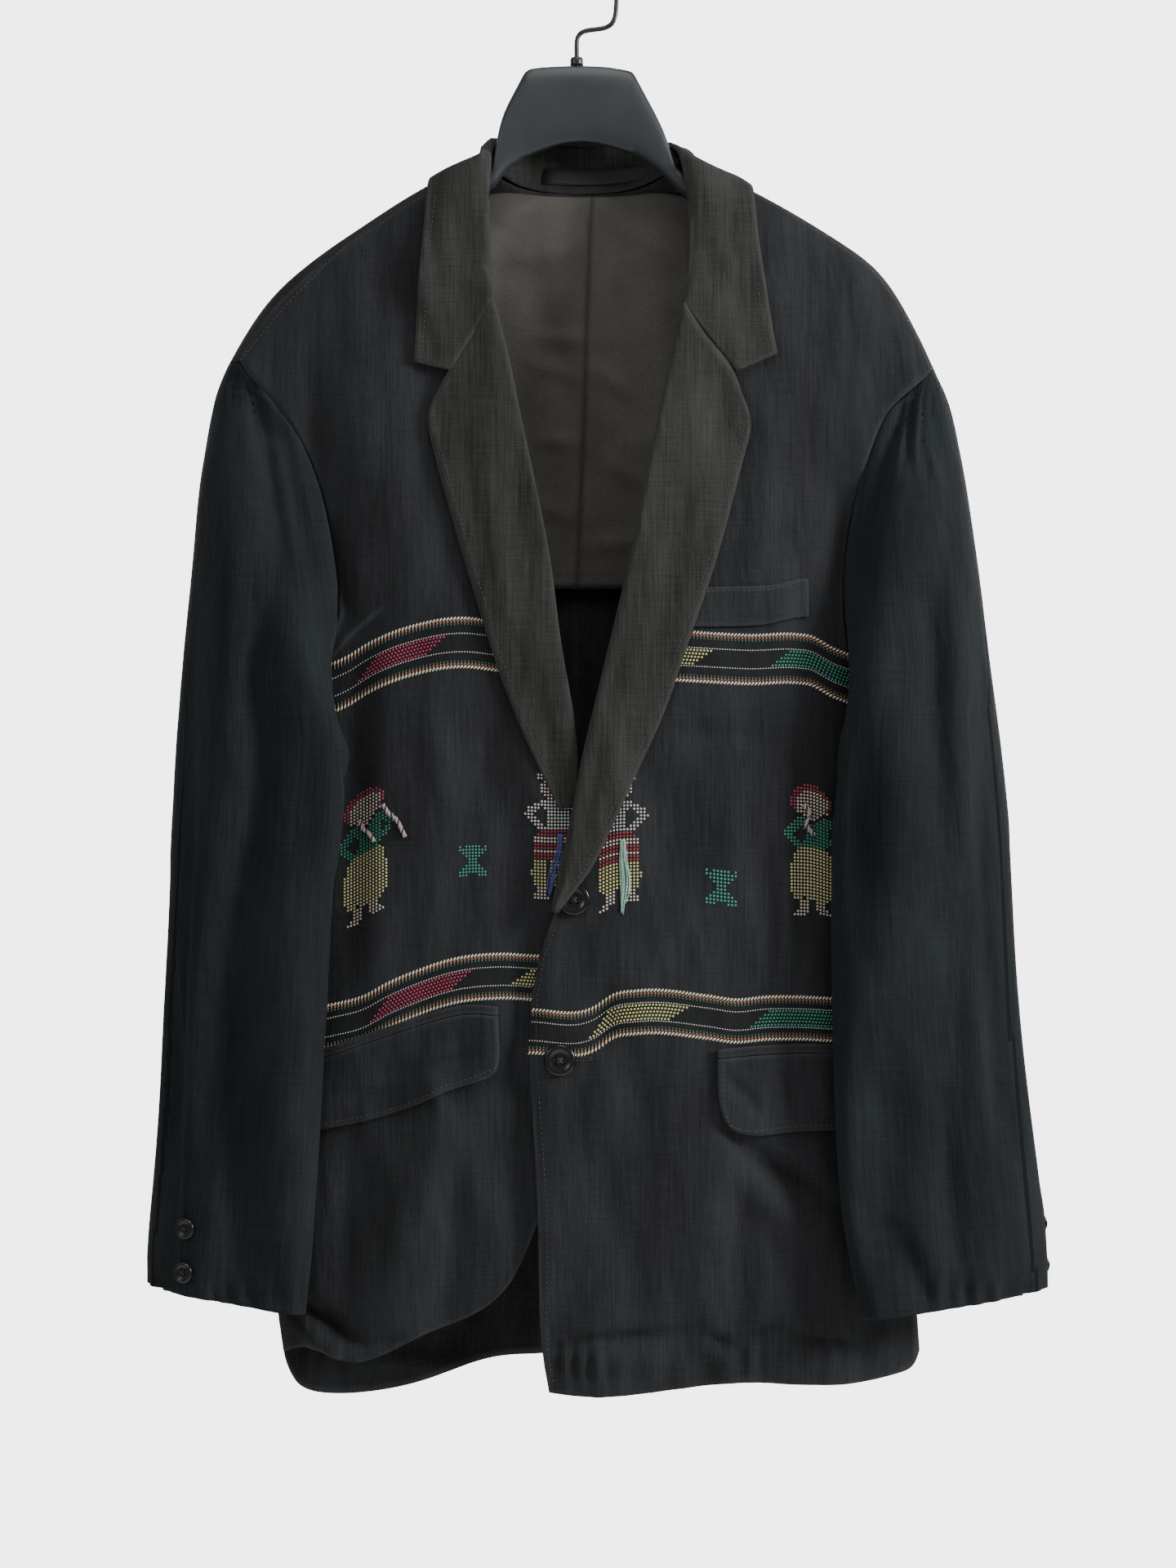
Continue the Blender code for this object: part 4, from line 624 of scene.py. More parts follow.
def refined_copy(node, cuts=0):
    """A CAD node's mesh, merged and in quads, rounded, cut finer where its cells are long, and rounded again,
    with its rims kept sharp: (mesh, points on the rims)."""
    bm = bmesh.new()
    bm.from_mesh(frame["nodes"][node].data)
    bmesh.ops.remove_doubles(bm, verts=bm.verts[:], dist=MERGE)
    bmesh.ops.join_triangles(
        bm, faces=bm.faces[:], angle_face_threshold=math.radians(40), angle_shape_threshold=math.radians(70)
    )
    rims = []
    for face in bm.faces:
        face.material_index = int(sum(on_rim(edge) for edge in face.edges) >= 2)
    for edge in bm.edges:
        if on_rim(edge):
            steps = max(1, int(edge.calc_length() / (RIM_STEP * MM)))
            rims += [edge.verts[0].co.lerp(edge.verts[1].co, i / steps) for i in range(steps)]
    mesh = rounded(mesh_of(bm, node))
    if cuts:
        bm = bmesh.new()
        bm.from_mesh(mesh)
        long_edges = [e for e in bm.edges if e.calc_length() > LONG_CELL * MM]
        bmesh.ops.subdivide_edges(bm, edges=long_edges, cuts=cuts, use_grid_fill=True)
        bm.to_mesh(mesh)
        bm.free()
    return rounded(mesh), rims


def widen(mesh, amount):
    """Moves a piece's rims outwards in its own surface, so that it meets its neighbours at the seams."""
    co = coordinates(mesh)
    push = np.zeros_like(co)
    for polygon in mesh.polygons:
        if polygon.material_index == 1:
            push[list(polygon.vertices)] += np.array(polygon.normal) * polygon.area
        polygon.material_index = 0
    size = np.linalg.norm(push, axis=1, keepdims=True)
    put_coordinates(mesh, co + amount * push / np.maximum(size, 1e-12))


def coordinates(mesh):
    """The places of a mesh's points, one to a row."""
    co = np.zeros(len(mesh.vertices) * 3, np.float32)
    mesh.vertices.foreach_get("co", co)
    return co.reshape(-1, 3).astype(float)


def put_coordinates(mesh, co):
    """Moves a mesh's points."""
    mesh.vertices.foreach_set("co", co.astype(np.float32).ravel())
    mesh.update()


def put_attribute(mesh, name, values):
    """A value for each point, which a material can read."""
    mesh.attributes.new(name, "FLOAT", "POINT").data.foreach_set("value", values.astype(np.float32))


def rim_wear_and_shade(mesh, rims, reach):
    """How worn each point is, and on the lining and label how deep the painted rim shade is, from its distance to
    the nearest rim.
    """
    tree = KDTree(len(rims))
    for i, point in enumerate(rims):
        tree.insert(point, i)
    tree.balance()
    away = np.array([tree.find(v.co)[2] for v in mesh.vertices])
    return np.exp(-((away / reach) ** 2))


def put_weave(mesh, across, along):
    """A UV map in metres of cloth, from a value for each vertex."""
    layer = mesh.uv_layers.new(name="weave")
    index = np.zeros(len(mesh.loops), np.int32)
    mesh.loops.foreach_get("vertex_index", index)
    layer.data.foreach_set("uv", np.stack([across[index], along[index]], 1).astype(np.float32).ravel())


def body_weave(mesh):
    """Lengths across and up the body's cloth. At its sides the turn from front to back is added."""
    x, y, z = coordinates(mesh).T / MM
    share = ease((np.abs(x) - FLAT_HALF) / (BODY_HALF - FLAT_HALF))
    put_weave(mesh, np.sign(x) * (np.abs(x) + (HALF_DEPTH - np.abs(y)) * share) * MM, z * MM)


# The brocade's bands: points on each one's middle line, and half its width, in millimetres.
BAND_KEYS = "x z"
BANDS = {
    "upper right": (
        table(BAND_KEYS, (-205, -500), (-180, -496), (-152.3, -486.3), (-139.9, -478.7), (-125.8, -472.2),
              (-105.8, -465.8), (-76.7, -461.4), (-51.8, -463.6), (-20, -466)),
        16.0,
    ),
    "upper left": (
        table(BAND_KEYS, (20, -468), (72.4, -470.6), (117.2, -472.5), (145.8, -471.7), (155.5, -472.8),
              (170.1, -480.3), (205, -490)),
        16.0,
    ),
    "lower right": (
        table(BAND_KEYS, (-205, -727), (-165.2, -717.4), (-141.5, -710.9), (-124.7, -701.7), (-105.8, -693.6),
              (-78.8, -685), (-51.8, -682.3), (-28.6, -683.4), (0, -684)),
        14.5,
    ),
    "lower left": (
        table(BAND_KEYS, (-31, -718.5), (12.4, -716.3), (24.8, -708.2), (40, -705.5), (86.9, -709.3),
              (105.3, -712), (126.4, -710.4), (170.6, -712), (205, -716)),
        14.0,
    ),
}


def hermite(t):
    """The weights of two points and of the slopes at them, on a smooth curve from one to the other."""
    return 2 * t**3 - 3 * t**2 + 1, -2 * t**3 + 3 * t**2, t**3 - 2 * t**2 + t, t**3 - t**2


def band_height(band, x):
    """Height of a band's middle at x, on a smooth curve through its points."""
    rows = BANDS[band][0]
    xs = np.array([row["x"] for row in rows], float)
    zs = np.array([row["z"] for row in rows], float)
    slope = np.gradient(zs, xs)
    i = np.clip(np.searchsorted(xs, x) - 1, 0, len(xs) - 2)
    step = xs[i + 1] - xs[i]
    near, far, leave, arrive = hermite(np.clip((x - xs[i]) / step, 0, 1))
    return near * zs[i] + far * zs[i + 1] + step * (leave * slope[i] + arrive * slope[i + 1])


def band_ground(mesh, side):
    """Where the ground of the bands is darker than the cloth round it."""
    x, y, z = coordinates(mesh).T / MM
    dark = np.zeros(len(x))
    for height in ("upper", "lower"):
        middle = band_height(f"{height} {side}", x)
        half = BANDS[f"{height} {side}"][1]
        dark = np.maximum(dark, 0.75 * ease((half - 1 - np.abs(z - middle)) / 3))
    return dark * (y < -5)


RIM_WEAR_AND_SHADE_SHARE = 0.8  # of the way to the worn colour on the shell, and to the painted rim shade on the lining and label, at a rim


def cloth_piece(node, cuts, material, rise=None, wear=1.6, weave=body_weave, seam=BODY_SEAM):
    """The cloth on a CAD node: its own form, finer, with the creases, the weave's map and the worn rims, which the
    lining and label darken as painted shade.
    """
    mesh, rims = refined_copy(node, cuts)
    widen(mesh, seam * MM)
    put_attribute(mesh, "wear", RIM_WEAR_AND_SHADE_SHARE * rim_wear_and_shade(mesh, rims, wear * MM))
    place, _, side = node.rpartition("_")
    ground = band_ground(mesh, side) if place == "front" else np.zeros(len(mesh.vertices))
    put_attribute(mesh, "ground", ground)
    weave(mesh)
    if rise is not None:
        put_coordinates(mesh, rise(coordinates(mesh) / MM) * MM)
    obj = new_piece("cloth_" + node, mesh, material)
    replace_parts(obj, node)


def creased_body(extra=(), more=None):
    """A function that moves cloth along Y by the body's creases, with extra ones on the fronts, or more on both."""

    def moved(co):
        """The points with the creases' rise added along Y."""
        x, y, z = co.T
        depth = bpy.context.scene.jacket_cloth.creases
        rise = body_rise(x, y, z, extra)
        out = co.copy()
        out[:, 1] += depth * np.where(y < 0, -rise, rise)
        if more is not None:
            out[:, 1] -= depth * crease_rise(more, x, z)
        return out

    return moved


def surface_of(names):
    """A tree of the faces of some pieces, to find the cloth's surface by rays."""
    points, faces = [], []
    for name in names:
        mesh = bpy.data.objects[name].data
        start = len(points)
        points += [tuple(v.co) for v in mesh.vertices]
        faces += [[start + i for i in p.vertices] for p in mesh.polygons]
    return BVHTree.FromPolygons(points, faces)


def on_cloth(tree, x, z):
    """The cloth's foremost point and its outward direction at (x, z) in millimetres, or None."""
    hit, normal, _, _ = tree.ray_cast(Vector((x * MM, -300 * MM, z * MM)), Vector((0, 1, 0)))
    if hit is None:
        return None
    return hit, normal if normal.y < 0 else -normal


# Stitches

def stitch_form():
    """One stitch: the points and faces of a small round of 20 triangles."""
    bm = bmesh.new()
    bmesh.ops.create_icosphere(bm, subdivisions=1, radius=1)
    points = np.array([v.co for v in bm.verts])
    faces = np.array([[v.index for v in f.verts] for f in bm.faces])
    bm.free()
    return points, faces


def sew(name, tree, stitches, material, lift=0.15):
    """One mesh of many stitches. A stitch is (x, z, slant in degrees, length, width, height, colour)."""
    form, faces = stitch_form()
    points, colours = [], []
    for x, z, slant, length, width, height, colour in stitches:
        found = on_cloth(tree, x, z)
        if found is None or found[1].y > -0.25:
            continue
        hit, normal = found
        angle = math.radians(slant)
        along = Vector((math.cos(angle), 0, math.sin(angle)))
        along = (along - along.dot(normal) * normal).normalized()
        beside = normal.cross(along)
        basis = np.array([along * length / 2, beside * width / 2, normal * height / 2]) * MM
        points.append(form @ basis + np.array(hit + normal * lift * MM))
        colours.append((*colour[:3], 1.0))
    count, size = len(points), len(form)
    if not count:
        raise RuntimeError(f"{name}: no stitch falls on the cloth")
    mesh = bpy.data.meshes.new(name)
    shifted = faces[None] + (np.arange(count) * size)[:, None, None]
    mesh.from_pydata(np.concatenate(points), [], shifted.reshape(-1, 3).tolist())
    layer = mesh.color_attributes.new("thread", "FLOAT_COLOR", "POINT")
    layer.data.foreach_set("color", np.repeat(np.array(colours, np.float32), size, 0).ravel())
    return new_piece(name, mesh, material)


# The charts are this part's own drawing of the old weavers' figures: one letter for each stitch.
WOMAN = """
......kkkkk.......
....kkkkkkkkk.....
...kkkcccccckk....
...kkccccccccck...
..kkcccccccccck...
..kkcccccccccck...
..kkccccccccck....
...kcccccccccc....
....cccccccc......
......ccccc.tttt..
....ttt.cc.ttttt..
...ttttt..tttttttt
..tttttttttttt.ttt
.tttt.tttttttt..tt
tttt...ttttttt.tt.
ttt....tttttttttt.
.ttt...ttttttttt..
..ttt.tttttttt....
...tttttttttt.....
....tyyyyyyyyy....
....yycycyycycy...
...yycyycycyycy...
...ycyycyycycyy...
...yycyycyyycyy...
..yycyycyycyycyy..
..ycyycyycyycyyc..
..yycyyycyycyycy..
..ycyycyycyyycyy..
..yycyycyycyycyy..
..ycyyycyycyycyc..
..yycyycyyycyycy..
..ycyycyycyycyyy..
..yycyycyycyycyc..
...yyycyycyyycy...
...ycy.ycyycyy....
.....ccc..ccc.....
.....ccc..ccc.....
.....ccc..cccc....
....cccc...cccc...
...cccc...........
"""
MAN = """
.....ww.....ww....
....wwwwwwwwww....
......cccccc......
.....cccccccc.....
.....cccccccc.....
.....cccccccc.....
......cccccc......
.......cccc.......
....wwwwwwwww.....
...wwwwwwwwwwww...
..wwwwwwwwww.wwww.
.ww.wwwwwww...www.
ww..wwwwwww....www
ww..wwwwwww...www.
.ww.wwwwwww..www..
..wwwwwwwww.www...
...wwwwwwwwwww....
....rrrrrrrrr.....
...rrrrrrrrrrr....
...cccccccccccc...
...cccccccccccc...
...rrrrrrrrrrrr...
...rrrrrrrrrrrr...
...cccccccccccc...
...rrrrrrrrrrrr...
...rrrrrrrrrrrr...
...yyyyyyy.yyyy...
...yyyyyyy.yyyy...
...yyyyyyy.yyyy...
...yyyyyyy.yyyyy..
...yyyyyyy.yyyyy..
...yyyyyyy.yyyy...
...yyyyyyy.yyyy...
....yyyyy..yyyy...
.....ccc...ccc....
.....ccc...ccc....
.....ccc...cccc...
....cccc..ccccc...
...ccc............
"""
HOURGLASS = """
t.ttttt.t
ttttttttt
.ttttttt.
..ttttt..
...ttt...
...ttt...
..ttttt..
.ttttttt.
ttttttttt
ttt...ttt
"""
# A figure's chart, left edge, top, width of a stitch, -1 where it is mirrored, and front.
FIGURES = (
    (WOMAN, -160.4, -558.6, 2.2, 1, "right"),
    (HOURGLASS, -78.3, -595.3, 2.1, 1, "right"),
    (MAN, -35.1, -548.0, 2.2, -1, "right"),
    (MAN, 7.6, -548.0, 2.25, 1, "left"),
    (HOURGLASS, 84.8, -611.6, 2.4, 1, "left"),
    (WOMAN, 137.2, -555.4, 2.2, 1, "left"),
)
LOZENGES = table(
    "band start end colour",
    ("upper right", -139, -92, "crimson"),
    ("upper left", 58, 83, "yellow"),
    ("upper left", 136, 196, "teal"),
    ("lower right", -131, -77, "crimson"),
    ("lower right", -36, 10, "yellow"),
    ("lower left", 15, 68, "yellow"),
    ("lower left", 122, 196, "teal"),
)
LEAN = 1.35  # how far a lozenge's rows step to the right for each row up
DOTTED_LINE = 6.1  # from the middle of a band
ROPE_SLANT, DOT_SLANT = 47, 25  # degrees from the weft
UPPER_LINE, LINE_DROP = -480, 225  # height of the upper bands, and from them down to the lower ones


def band_slope(band, x):
    """The slant of the weft at x, in degrees."""
    return math.degrees(math.atan2(band_height(band, x + 1) - band_height(band, x - 1), 2))


def band_stitches(band, colours, bead, rope, dot):
    """The ropes, dotted lines and lozenges of one band."""
    rows, half = BANDS[band]
    first, last = rows[0]["x"], rows[-1]["x"]
    out = []
    ropes = ((half, 3.5, 1.45, "cream"), (half - 2.1, 2.4, 1.1, "rust"), (half - 3.7, 1.9, 0.95, "green"))
    for away, length, width, colour in ropes:
        for sign in (-1, 1):
            for x in np.arange(first, last, rope):
                z = band_height(band, x) + sign * away
                slant = band_slope(band, x) + ROPE_SLANT
                out.append((x, z, slant, length, width, 1.0, colours[colour]))
    for sign in (-1, 1):
        for x in np.arange(first, last, dot):
            z = band_height(band, x) + sign * DOTTED_LINE
            out.append((x, z, band_slope(band, x) + DOT_SLANT, 1.35, 0.8, 0.55, colours["grey"]))
    for row in LOZENGES:
        if row["band"] != band:
            continue
        for level in range(-2, 3):
            shift = level * LEAN * bead
            for x in np.arange(row["start"] + shift, row["end"] + shift, bead):
                z = band_height(band, x) + level * bead
                slant, colour = band_slope(band, x), colours[row["colour"]]
                out.append((x, z, slant, bead * 0.8, bead * 0.76, 1.0, colour))
    return out


def figure_stitches(chart, left, top, pitch, mirror, side, letters):
    """The stitches of a chart. Its rows follow the weft, which the bands above and below show."""
    rows = chart.split()
    width = len(rows[0])
    centre = left + width * pitch / 2
    out = []
    for j, row in enumerate(rows):
        for i, letter in enumerate(row[::mirror]):
            if letter == ".":
                continue
            x = left + (i + 0.5) * pitch
            z = top - (j + 0.5) * pitch
            share = min(1, max(0, (UPPER_LINE - z) / LINE_DROP))
            bend = 0.0
            for band, part in (("upper", 1 - share), ("lower", share)):
                key = f"{band} {side}"
                bend += part * (band_height(key, x) - band_height(key, centre))
            out.append((x, z + bend, 0.0, pitch * 0.8, pitch * 0.78, 1.0, letters[letter]))
    return out


# Operators

def body_material(context):
    """The cloth of the fronts, the back and the pockets, made once."""
    cloth = context.scene.jacket_cloth
    return bpy.data.materials.get("charcoal_twill_cotton_wool") or woven_cloth(
        "charcoal_twill_cotton_wool", cloth.front, cloth.thread, True, 1.5, 0.03
    )


class JacketBody(bpy.types.Operator):
    """Makes the two fronts and the two halves of the back."""

    bl_idname = "jacket.body"
    bl_label = "Fronts and Back"

    def execute(self, context):
        for node, cuts in (("front_right", 3), ("front_left", 3), ("back_right", 1), ("back_left", 1)):
            cloth_piece(node, cuts, body_material(context), creased_body())
        return {"FINISHED"}


def sleeve_rings(points):
    """The middle and the half sizes of a sleeve at every height, from its own points."""
    rings = []
    for z in SLEEVE_HEIGHTS:
        near = points[np.abs(points[:, 2] - z) < RING_STEP]
        low, high = near.min(0), near.max(0)
        rings.append([*(low + high)[:2] / 2, *(high - low)[:2] / 2])
    return np.array(rings)


def round_sleeve(turn):
    """The length round a sleeve to a turn in degrees."""
    return np.radians(turn) * SLEEVE_RADIUS


class JacketSleeves(bpy.types.Operator):
    """Makes the two sleeves, each of a top and an under piece."""

    bl_idname = "jacket.sleeves"
    bl_label = "Sleeves"

    def execute(self, context):
        cloth = context.scene.jacket_cloth
        material = woven_cloth("blue_black_slub_cotton", cloth.sleeve, cloth.thread, False, 1.6, 0.02, 1.7)
        for side, outward in (("right", -1), ("left", 1)):
            names = [f"sleeve_{side}_top", f"sleeve_{side}_under"]
            own = np.concatenate([coordinates(refined_copy(n)[0]) for n in names]) / MM
            rings = sleeve_rings(own)

            def turned(co, outward=outward, rings=rings):
                """The sleeve's middle, its half sizes and the turn round it, in degrees, at each point."""
                x, y, z = co.T
                xc, yc, rx, ry = (np.interp(z, SLEEVE_HEIGHTS, rings[:, i]) for i in range(4))
                across = outward * (x - xc) / rx
                back = (y - yc) / ry
                return xc, yc, rx, ry, np.degrees(np.arctan2(-back, across)) % 360

            def sleeve_weave(mesh, turned=turned):
                """Lengths round and up the sleeve's cloth."""
                co = coordinates(mesh) / MM
                put_weave(mesh, round_sleeve(turned(co)[4]) * MM, co[:, 2] * MM)

            def creased(co, turned=turned, side=side):
                """The points moved out from the sleeve's middle, or in, by its creases."""
                x, y, z = co.T
                xc, yc, rx, ry, turn = turned(co)
                puckers = [(t, -878 - t % 7, t + 3, -903, 4.2, -1.5 - 0.2 * (t % 5)) for t in CUFF_PUCKERS]
                rows = [
                    {**row, "x1": round_sleeve(row["x1"]), "x2": round_sleeve(row["x2"])}
                    for row in SLEEVE_CREASES[side] + table(CREASE, *puckers)
                ]
                rise = crease_rise(rows, round_sleeve(turn), z) * ease((SLEEVE_TOP - z) / 24)
                inner = 1 - 0.65 * ease((np.abs(turn - 180) < 60) * (60 - np.abs(turn - 180)) / 40)
                cover = ease((np.hypot((x - xc) / rx, (y - yc) / ry) - 0.25) / 0.4)
                gx, gy = (x - xc) / rx**2, (y - yc) / ry**2
                size = np.maximum(np.hypot(gx, gy), 1e-6)
                amount = cloth.creases * rise * inner * cover * held_flat(x, y, z)
                out = co.copy()
                out[:, 0] += amount * gx / size
                out[:, 1] += amount * gy / size
                return out

            for name in names:
                cloth_piece(name, 2, material, creased, weave=sleeve_weave, seam=SLEEVE_SEAM)
        return {"FINISHED"}


class JacketCollar(bpy.types.Operator):
    """Makes the collar, its stand and the lapels."""

    bl_idname = "jacket.collar"
    bl_label = "Collar and Lapels"

    def execute(self, context):
        cloth = context.scene.jacket_cloth
        material = woven_cloth("warm_grey_linen_weave", cloth.collar, cloth.thread, False, 1.9, 0.03, 1.75)
        for node, cuts in (("collar", 0), ("collar_stand", 0), ("lapel_right", 1), ("lapel_left", 1)):
            extra = LAPEL_CREASES if node != "collar_stand" else ()
            cloth_piece(node, cuts, material, creased_body(extra), seam=COLLAR_SEAM)
        return {"FINISHED"}


class JacketLining(bpy.types.Operator):
    """Makes the half lining and the blank neck label."""

    bl_idname = "jacket.lining"
    bl_label = "Lining and Label"

    def execute(self, context):
        cloth = context.scene.jacket_cloth
        material = lining_cloth("ironed_cotton_lining", cloth.lining, cloth.thread)
        for side in ("right", "left"):
            creased = creased_body((), LINING_CREASES)
            cloth_piece(f"half_lining_{side}", 1, material, creased, wear=1.2)
        satin = lining_cloth("black_label_satin", cloth.label, cloth.thread, 0.45)
        cloth_piece("neck_label", 0, satin)
        return {"FINISHED"}


class JacketPockets(bpy.types.Operator):
    """Makes the flaps, their jets and the chest welt."""

    bl_idname = "jacket.pockets"
    bl_label = "Pockets"

    def execute(self, context):
        for node in ("flap_right", "flap_left", "chest_welt", "jet_right", "jet_left"):
            cloth_piece(node, 0, body_material(context), creased_body())
        return {"FINISHED"}


class JacketWeaving(bpy.types.Operator):
    """Weaves the brocade of both fronts: bands, figures and small motifs."""

    bl_idname = "jacket.brocade"
    bl_label = "Brocade"

    def execute(self, context):
        b = context.scene.jacket_brocade
        names = ("cream", "rust", "green", "grey", "crimson", "yellow", "teal", "skin", "red")
        colours = {name: tuple(getattr(b, name)) for name in names}
        marks = {"k": "crimson", "c": "skin", "t": "teal", "y": "yellow", "w": "grey", "r": "red"}
        letters = {letter: colours[name] for letter, name in marks.items()}
        material = spun_thread("brocade_cotton_weft")
        for side in ("right", "left"):
            stitches = []
            for height in ("upper", "lower"):
                stitches += band_stitches(f"{height} {side}", colours, b.bead / MM, b.rope / MM, b.dot / MM)
            for chart, left, top, pitch, mirror, where in FIGURES:
                if where == side:
                    stitches += figure_stitches(chart, left, top, pitch, mirror, side, letters)
            sew(f"brocade_{side}", surface_of([f"cloth_front_{side}"]), stitches, material)
        return {"FINISHED"}


def inset(points, amount):
    """A line moved sideways in the plane of the fronts, to its left as it runs."""
    p = np.array(points, float)
    way = np.gradient(p, axis=0)
    way /= np.linalg.norm(way, axis=1, keepdims=True)
    return p + amount * np.stack([-way[:, 1], way[:, 0]], 1)


# From one stitch of a seam to the next, and a stitch's length, width and height.
SEAM_STEP, SEAM_LENGTH, SEAM_WIDTH, SEAM_HEIGHT = 3.4, 2.3, 0.55, 0.4


def seam_stitches(points, colour):
    """Running stitches along a line of (x, z)."""
    line = smooth_way(points, 400)
    run = run_of(line)
    out = []
    for at in np.arange(0, run[-1], SEAM_STEP):
        (x1, z1), (x, z), (x2, z2) = ([np.interp(at + i, run, line[:, k]) for k in (0, 1)] for i in (-1, 0, 1))
        slant = math.degrees(math.atan2(z2 - z1, x2 - x1))
        out.append((x, z, slant, SEAM_LENGTH, SEAM_WIDTH, SEAM_HEIGHT, colour))
    return out


# Lines of sewing that the photograph shows, as (x, z), each with how far it is moved in from the edge that it
# follows.
SEWN = {
    "right_lapel": (4.0, [(-99.4, -308.6), (-92.3, -339.4), (-73, -407.4), (-58.9, -454), (-50.2, -482),
                           (-31.9, -527.3), (-18.9, -554.3)]),
    "left_lapel": (-4.0, [(117.2, -312.4), (110, -337), (96, -391), (86.4, -423.6), (75.6, -452), (64.3, -488),
                         (55.6, -512), (40, -544.6), (18.9, -591.6), (7, -615.3), (-5.9, -629)]),
    "right_collar": (-4.0, [(-107, -274.6), (-103.5, -222), (-101, -186), (-98.5, -160)]),
    "left_collar": (4.0, [(132.3, -268.7), (124.5, -225), (120, -190), (117, -164)]),
    "left_edge": (5.0, [(-19.5, -650), (-26.5, -669), (-29, -685.5), (-31.3, -700), (-31.3, -739), (-27.5, -793),
                        (-24.8, -847), (-24.3, -922.6), (-20.5, -950)]),
    "right_shoulder": (0.0, [(-225, -270), (-196.5, -236), (-180.4, -219), (-154.4, -193), (-121, -166.5)]),
    "left_shoulder": (0.0, [(156, -177), (185, -197), (208, -221), (223.5, -245.5), (231, -260)]),
    "right_flap": (-3.4, [(-53, -746), (-73, -754), (-90, -759), (-100, -765), (-129, -776), (-168, -785)]),
    "left_flap": (3.4, [(93.4, -741), (93.6, -763), (96.5, -776), (101, -784), (116, -788), (133, -786.5),
                        (152, -785), (180, -785)]),
    "welt_end": (0.0, [(147.2, -420), (147.4, -431), (147.8, -444)]),
    "welt_edge": (-2.4, [(80, -425.5), (100, -424.6), (123, -424), (138, -421.5), (149, -418)]),
    "lining_hem": (0.0, [(-13, -411.5), (0, -411), (12, -411), (27, -411.5)]),
}


HOLE_END, HOLE_Z = 9.6, -736.3  # inner end and height of the lower buttonhole


class JacketSewing(bpy.types.Operator):
    """Sews the topstitching and the buttonhole."""

    bl_idname = "jacket.sewing"
    bl_label = "Topstitching"

    def execute(self, context):
        colour = tuple(context.scene.jacket_fittings.sewing)
        cloths = [o.name for o in bpy.data.objects if o.name.startswith("cloth_") and "sleeve" not in o.name]
        tree = surface_of(cloths)
        stitches = []
        for amount, line in SEWN.values():
            stitches += seam_stitches(inset(line, amount), colour)
        sew("topstitching", tree, stitches, spun_thread("polished_sewing_thread"), lift=0.05)
        # The end of the lower buttonhole shows beside its button.
        dark = linear("0b0b0c")
        ends = [(HOLE_END, HOLE_Z + z, 0, 2.0, 1.1, 1.0, dark) for z in (-0.8, 0, 0.8)]
        hole = [
            (x, HOLE_Z + side, 90, 1.7, 1.1, 0.9, dark) for x in np.arange(-2, HOLE_END, 0.9) for side in (-1, 1)
        ] + ends
        sew("buttonhole", tree, hole, spun_thread("black_buttonhole_twist"), lift=0.1)
        return {"FINISHED"}


def plane_of(node):
    """A flat node's centre, the direction it faces, and its radius and thickness."""
    points = coordinates(frame["nodes"][node].data)
    low, high = points.min(0), points.max(0)
    centre = (low + high) / 2
    axis = np.linalg.svd(points - centre, full_matrices=False)[2][2]
    axis = -axis if axis[1] > 0 else axis
    rise = (points - centre) @ axis
    across = np.linalg.norm(points - centre - np.outer(rise, axis), axis=1)
    return Vector(centre), Vector(axis), float(across.max()), float(rise.max() - rise.min())


def turned_form(profile, sides):
    """A bmesh of a profile of (radius, height) turned round Z, closed at both poles."""
    bm = bmesh.new()
    verts = [bm.verts.new((r, 0, h)) for r, h in profile]
    edges = [bm.edges.new(pair) for pair in zip(verts, verts[1:])]
    middle, up = (0, 0, 0), (0, 0, 1)
    bmesh.ops.spin(
        bm, geom=verts + edges, cent=middle, axis=up, angle=2 * math.pi, steps=sides, use_merge=True
    )
    bmesh.ops.remove_doubles(bm, verts=bm.verts[:], dist=1e-7)
    bmesh.ops.recalc_face_normals(bm, faces=bm.faces[:])
    return bm


# Across a button from its middle to its rim and round to the back, in shares of its radius and thickness.
BUTTON_PROFILE = (
    (0, 0.62), (0.42, 0.6), (0.56, 0.66), (0.66, 0.92), (0.78, 1.0), (0.9, 0.96), (0.98, 0.74), (1.0, 0.5),
    (0.94, 0.16), (0.8, 0.0), (0, 0.0),
)
BUTTON_SIDES = 40
# A button's holes: how far each is from its middle lines, and their radius. Then its threads' radius and length.
HOLE_SPREAD, HOLE_RADIUS, BAR_RADIUS, BAR_LENGTH = 0.19, 0.095, 0.06, 0.5


def rod(bm, sides, radius, length, place):
    """Adds a round rod along the Z of a matrix, with its middle there."""
    bmesh.ops.create_cone(
        bm, cap_ends=True, segments=sides, radius1=radius, radius2=radius, depth=length, matrix=place
    )


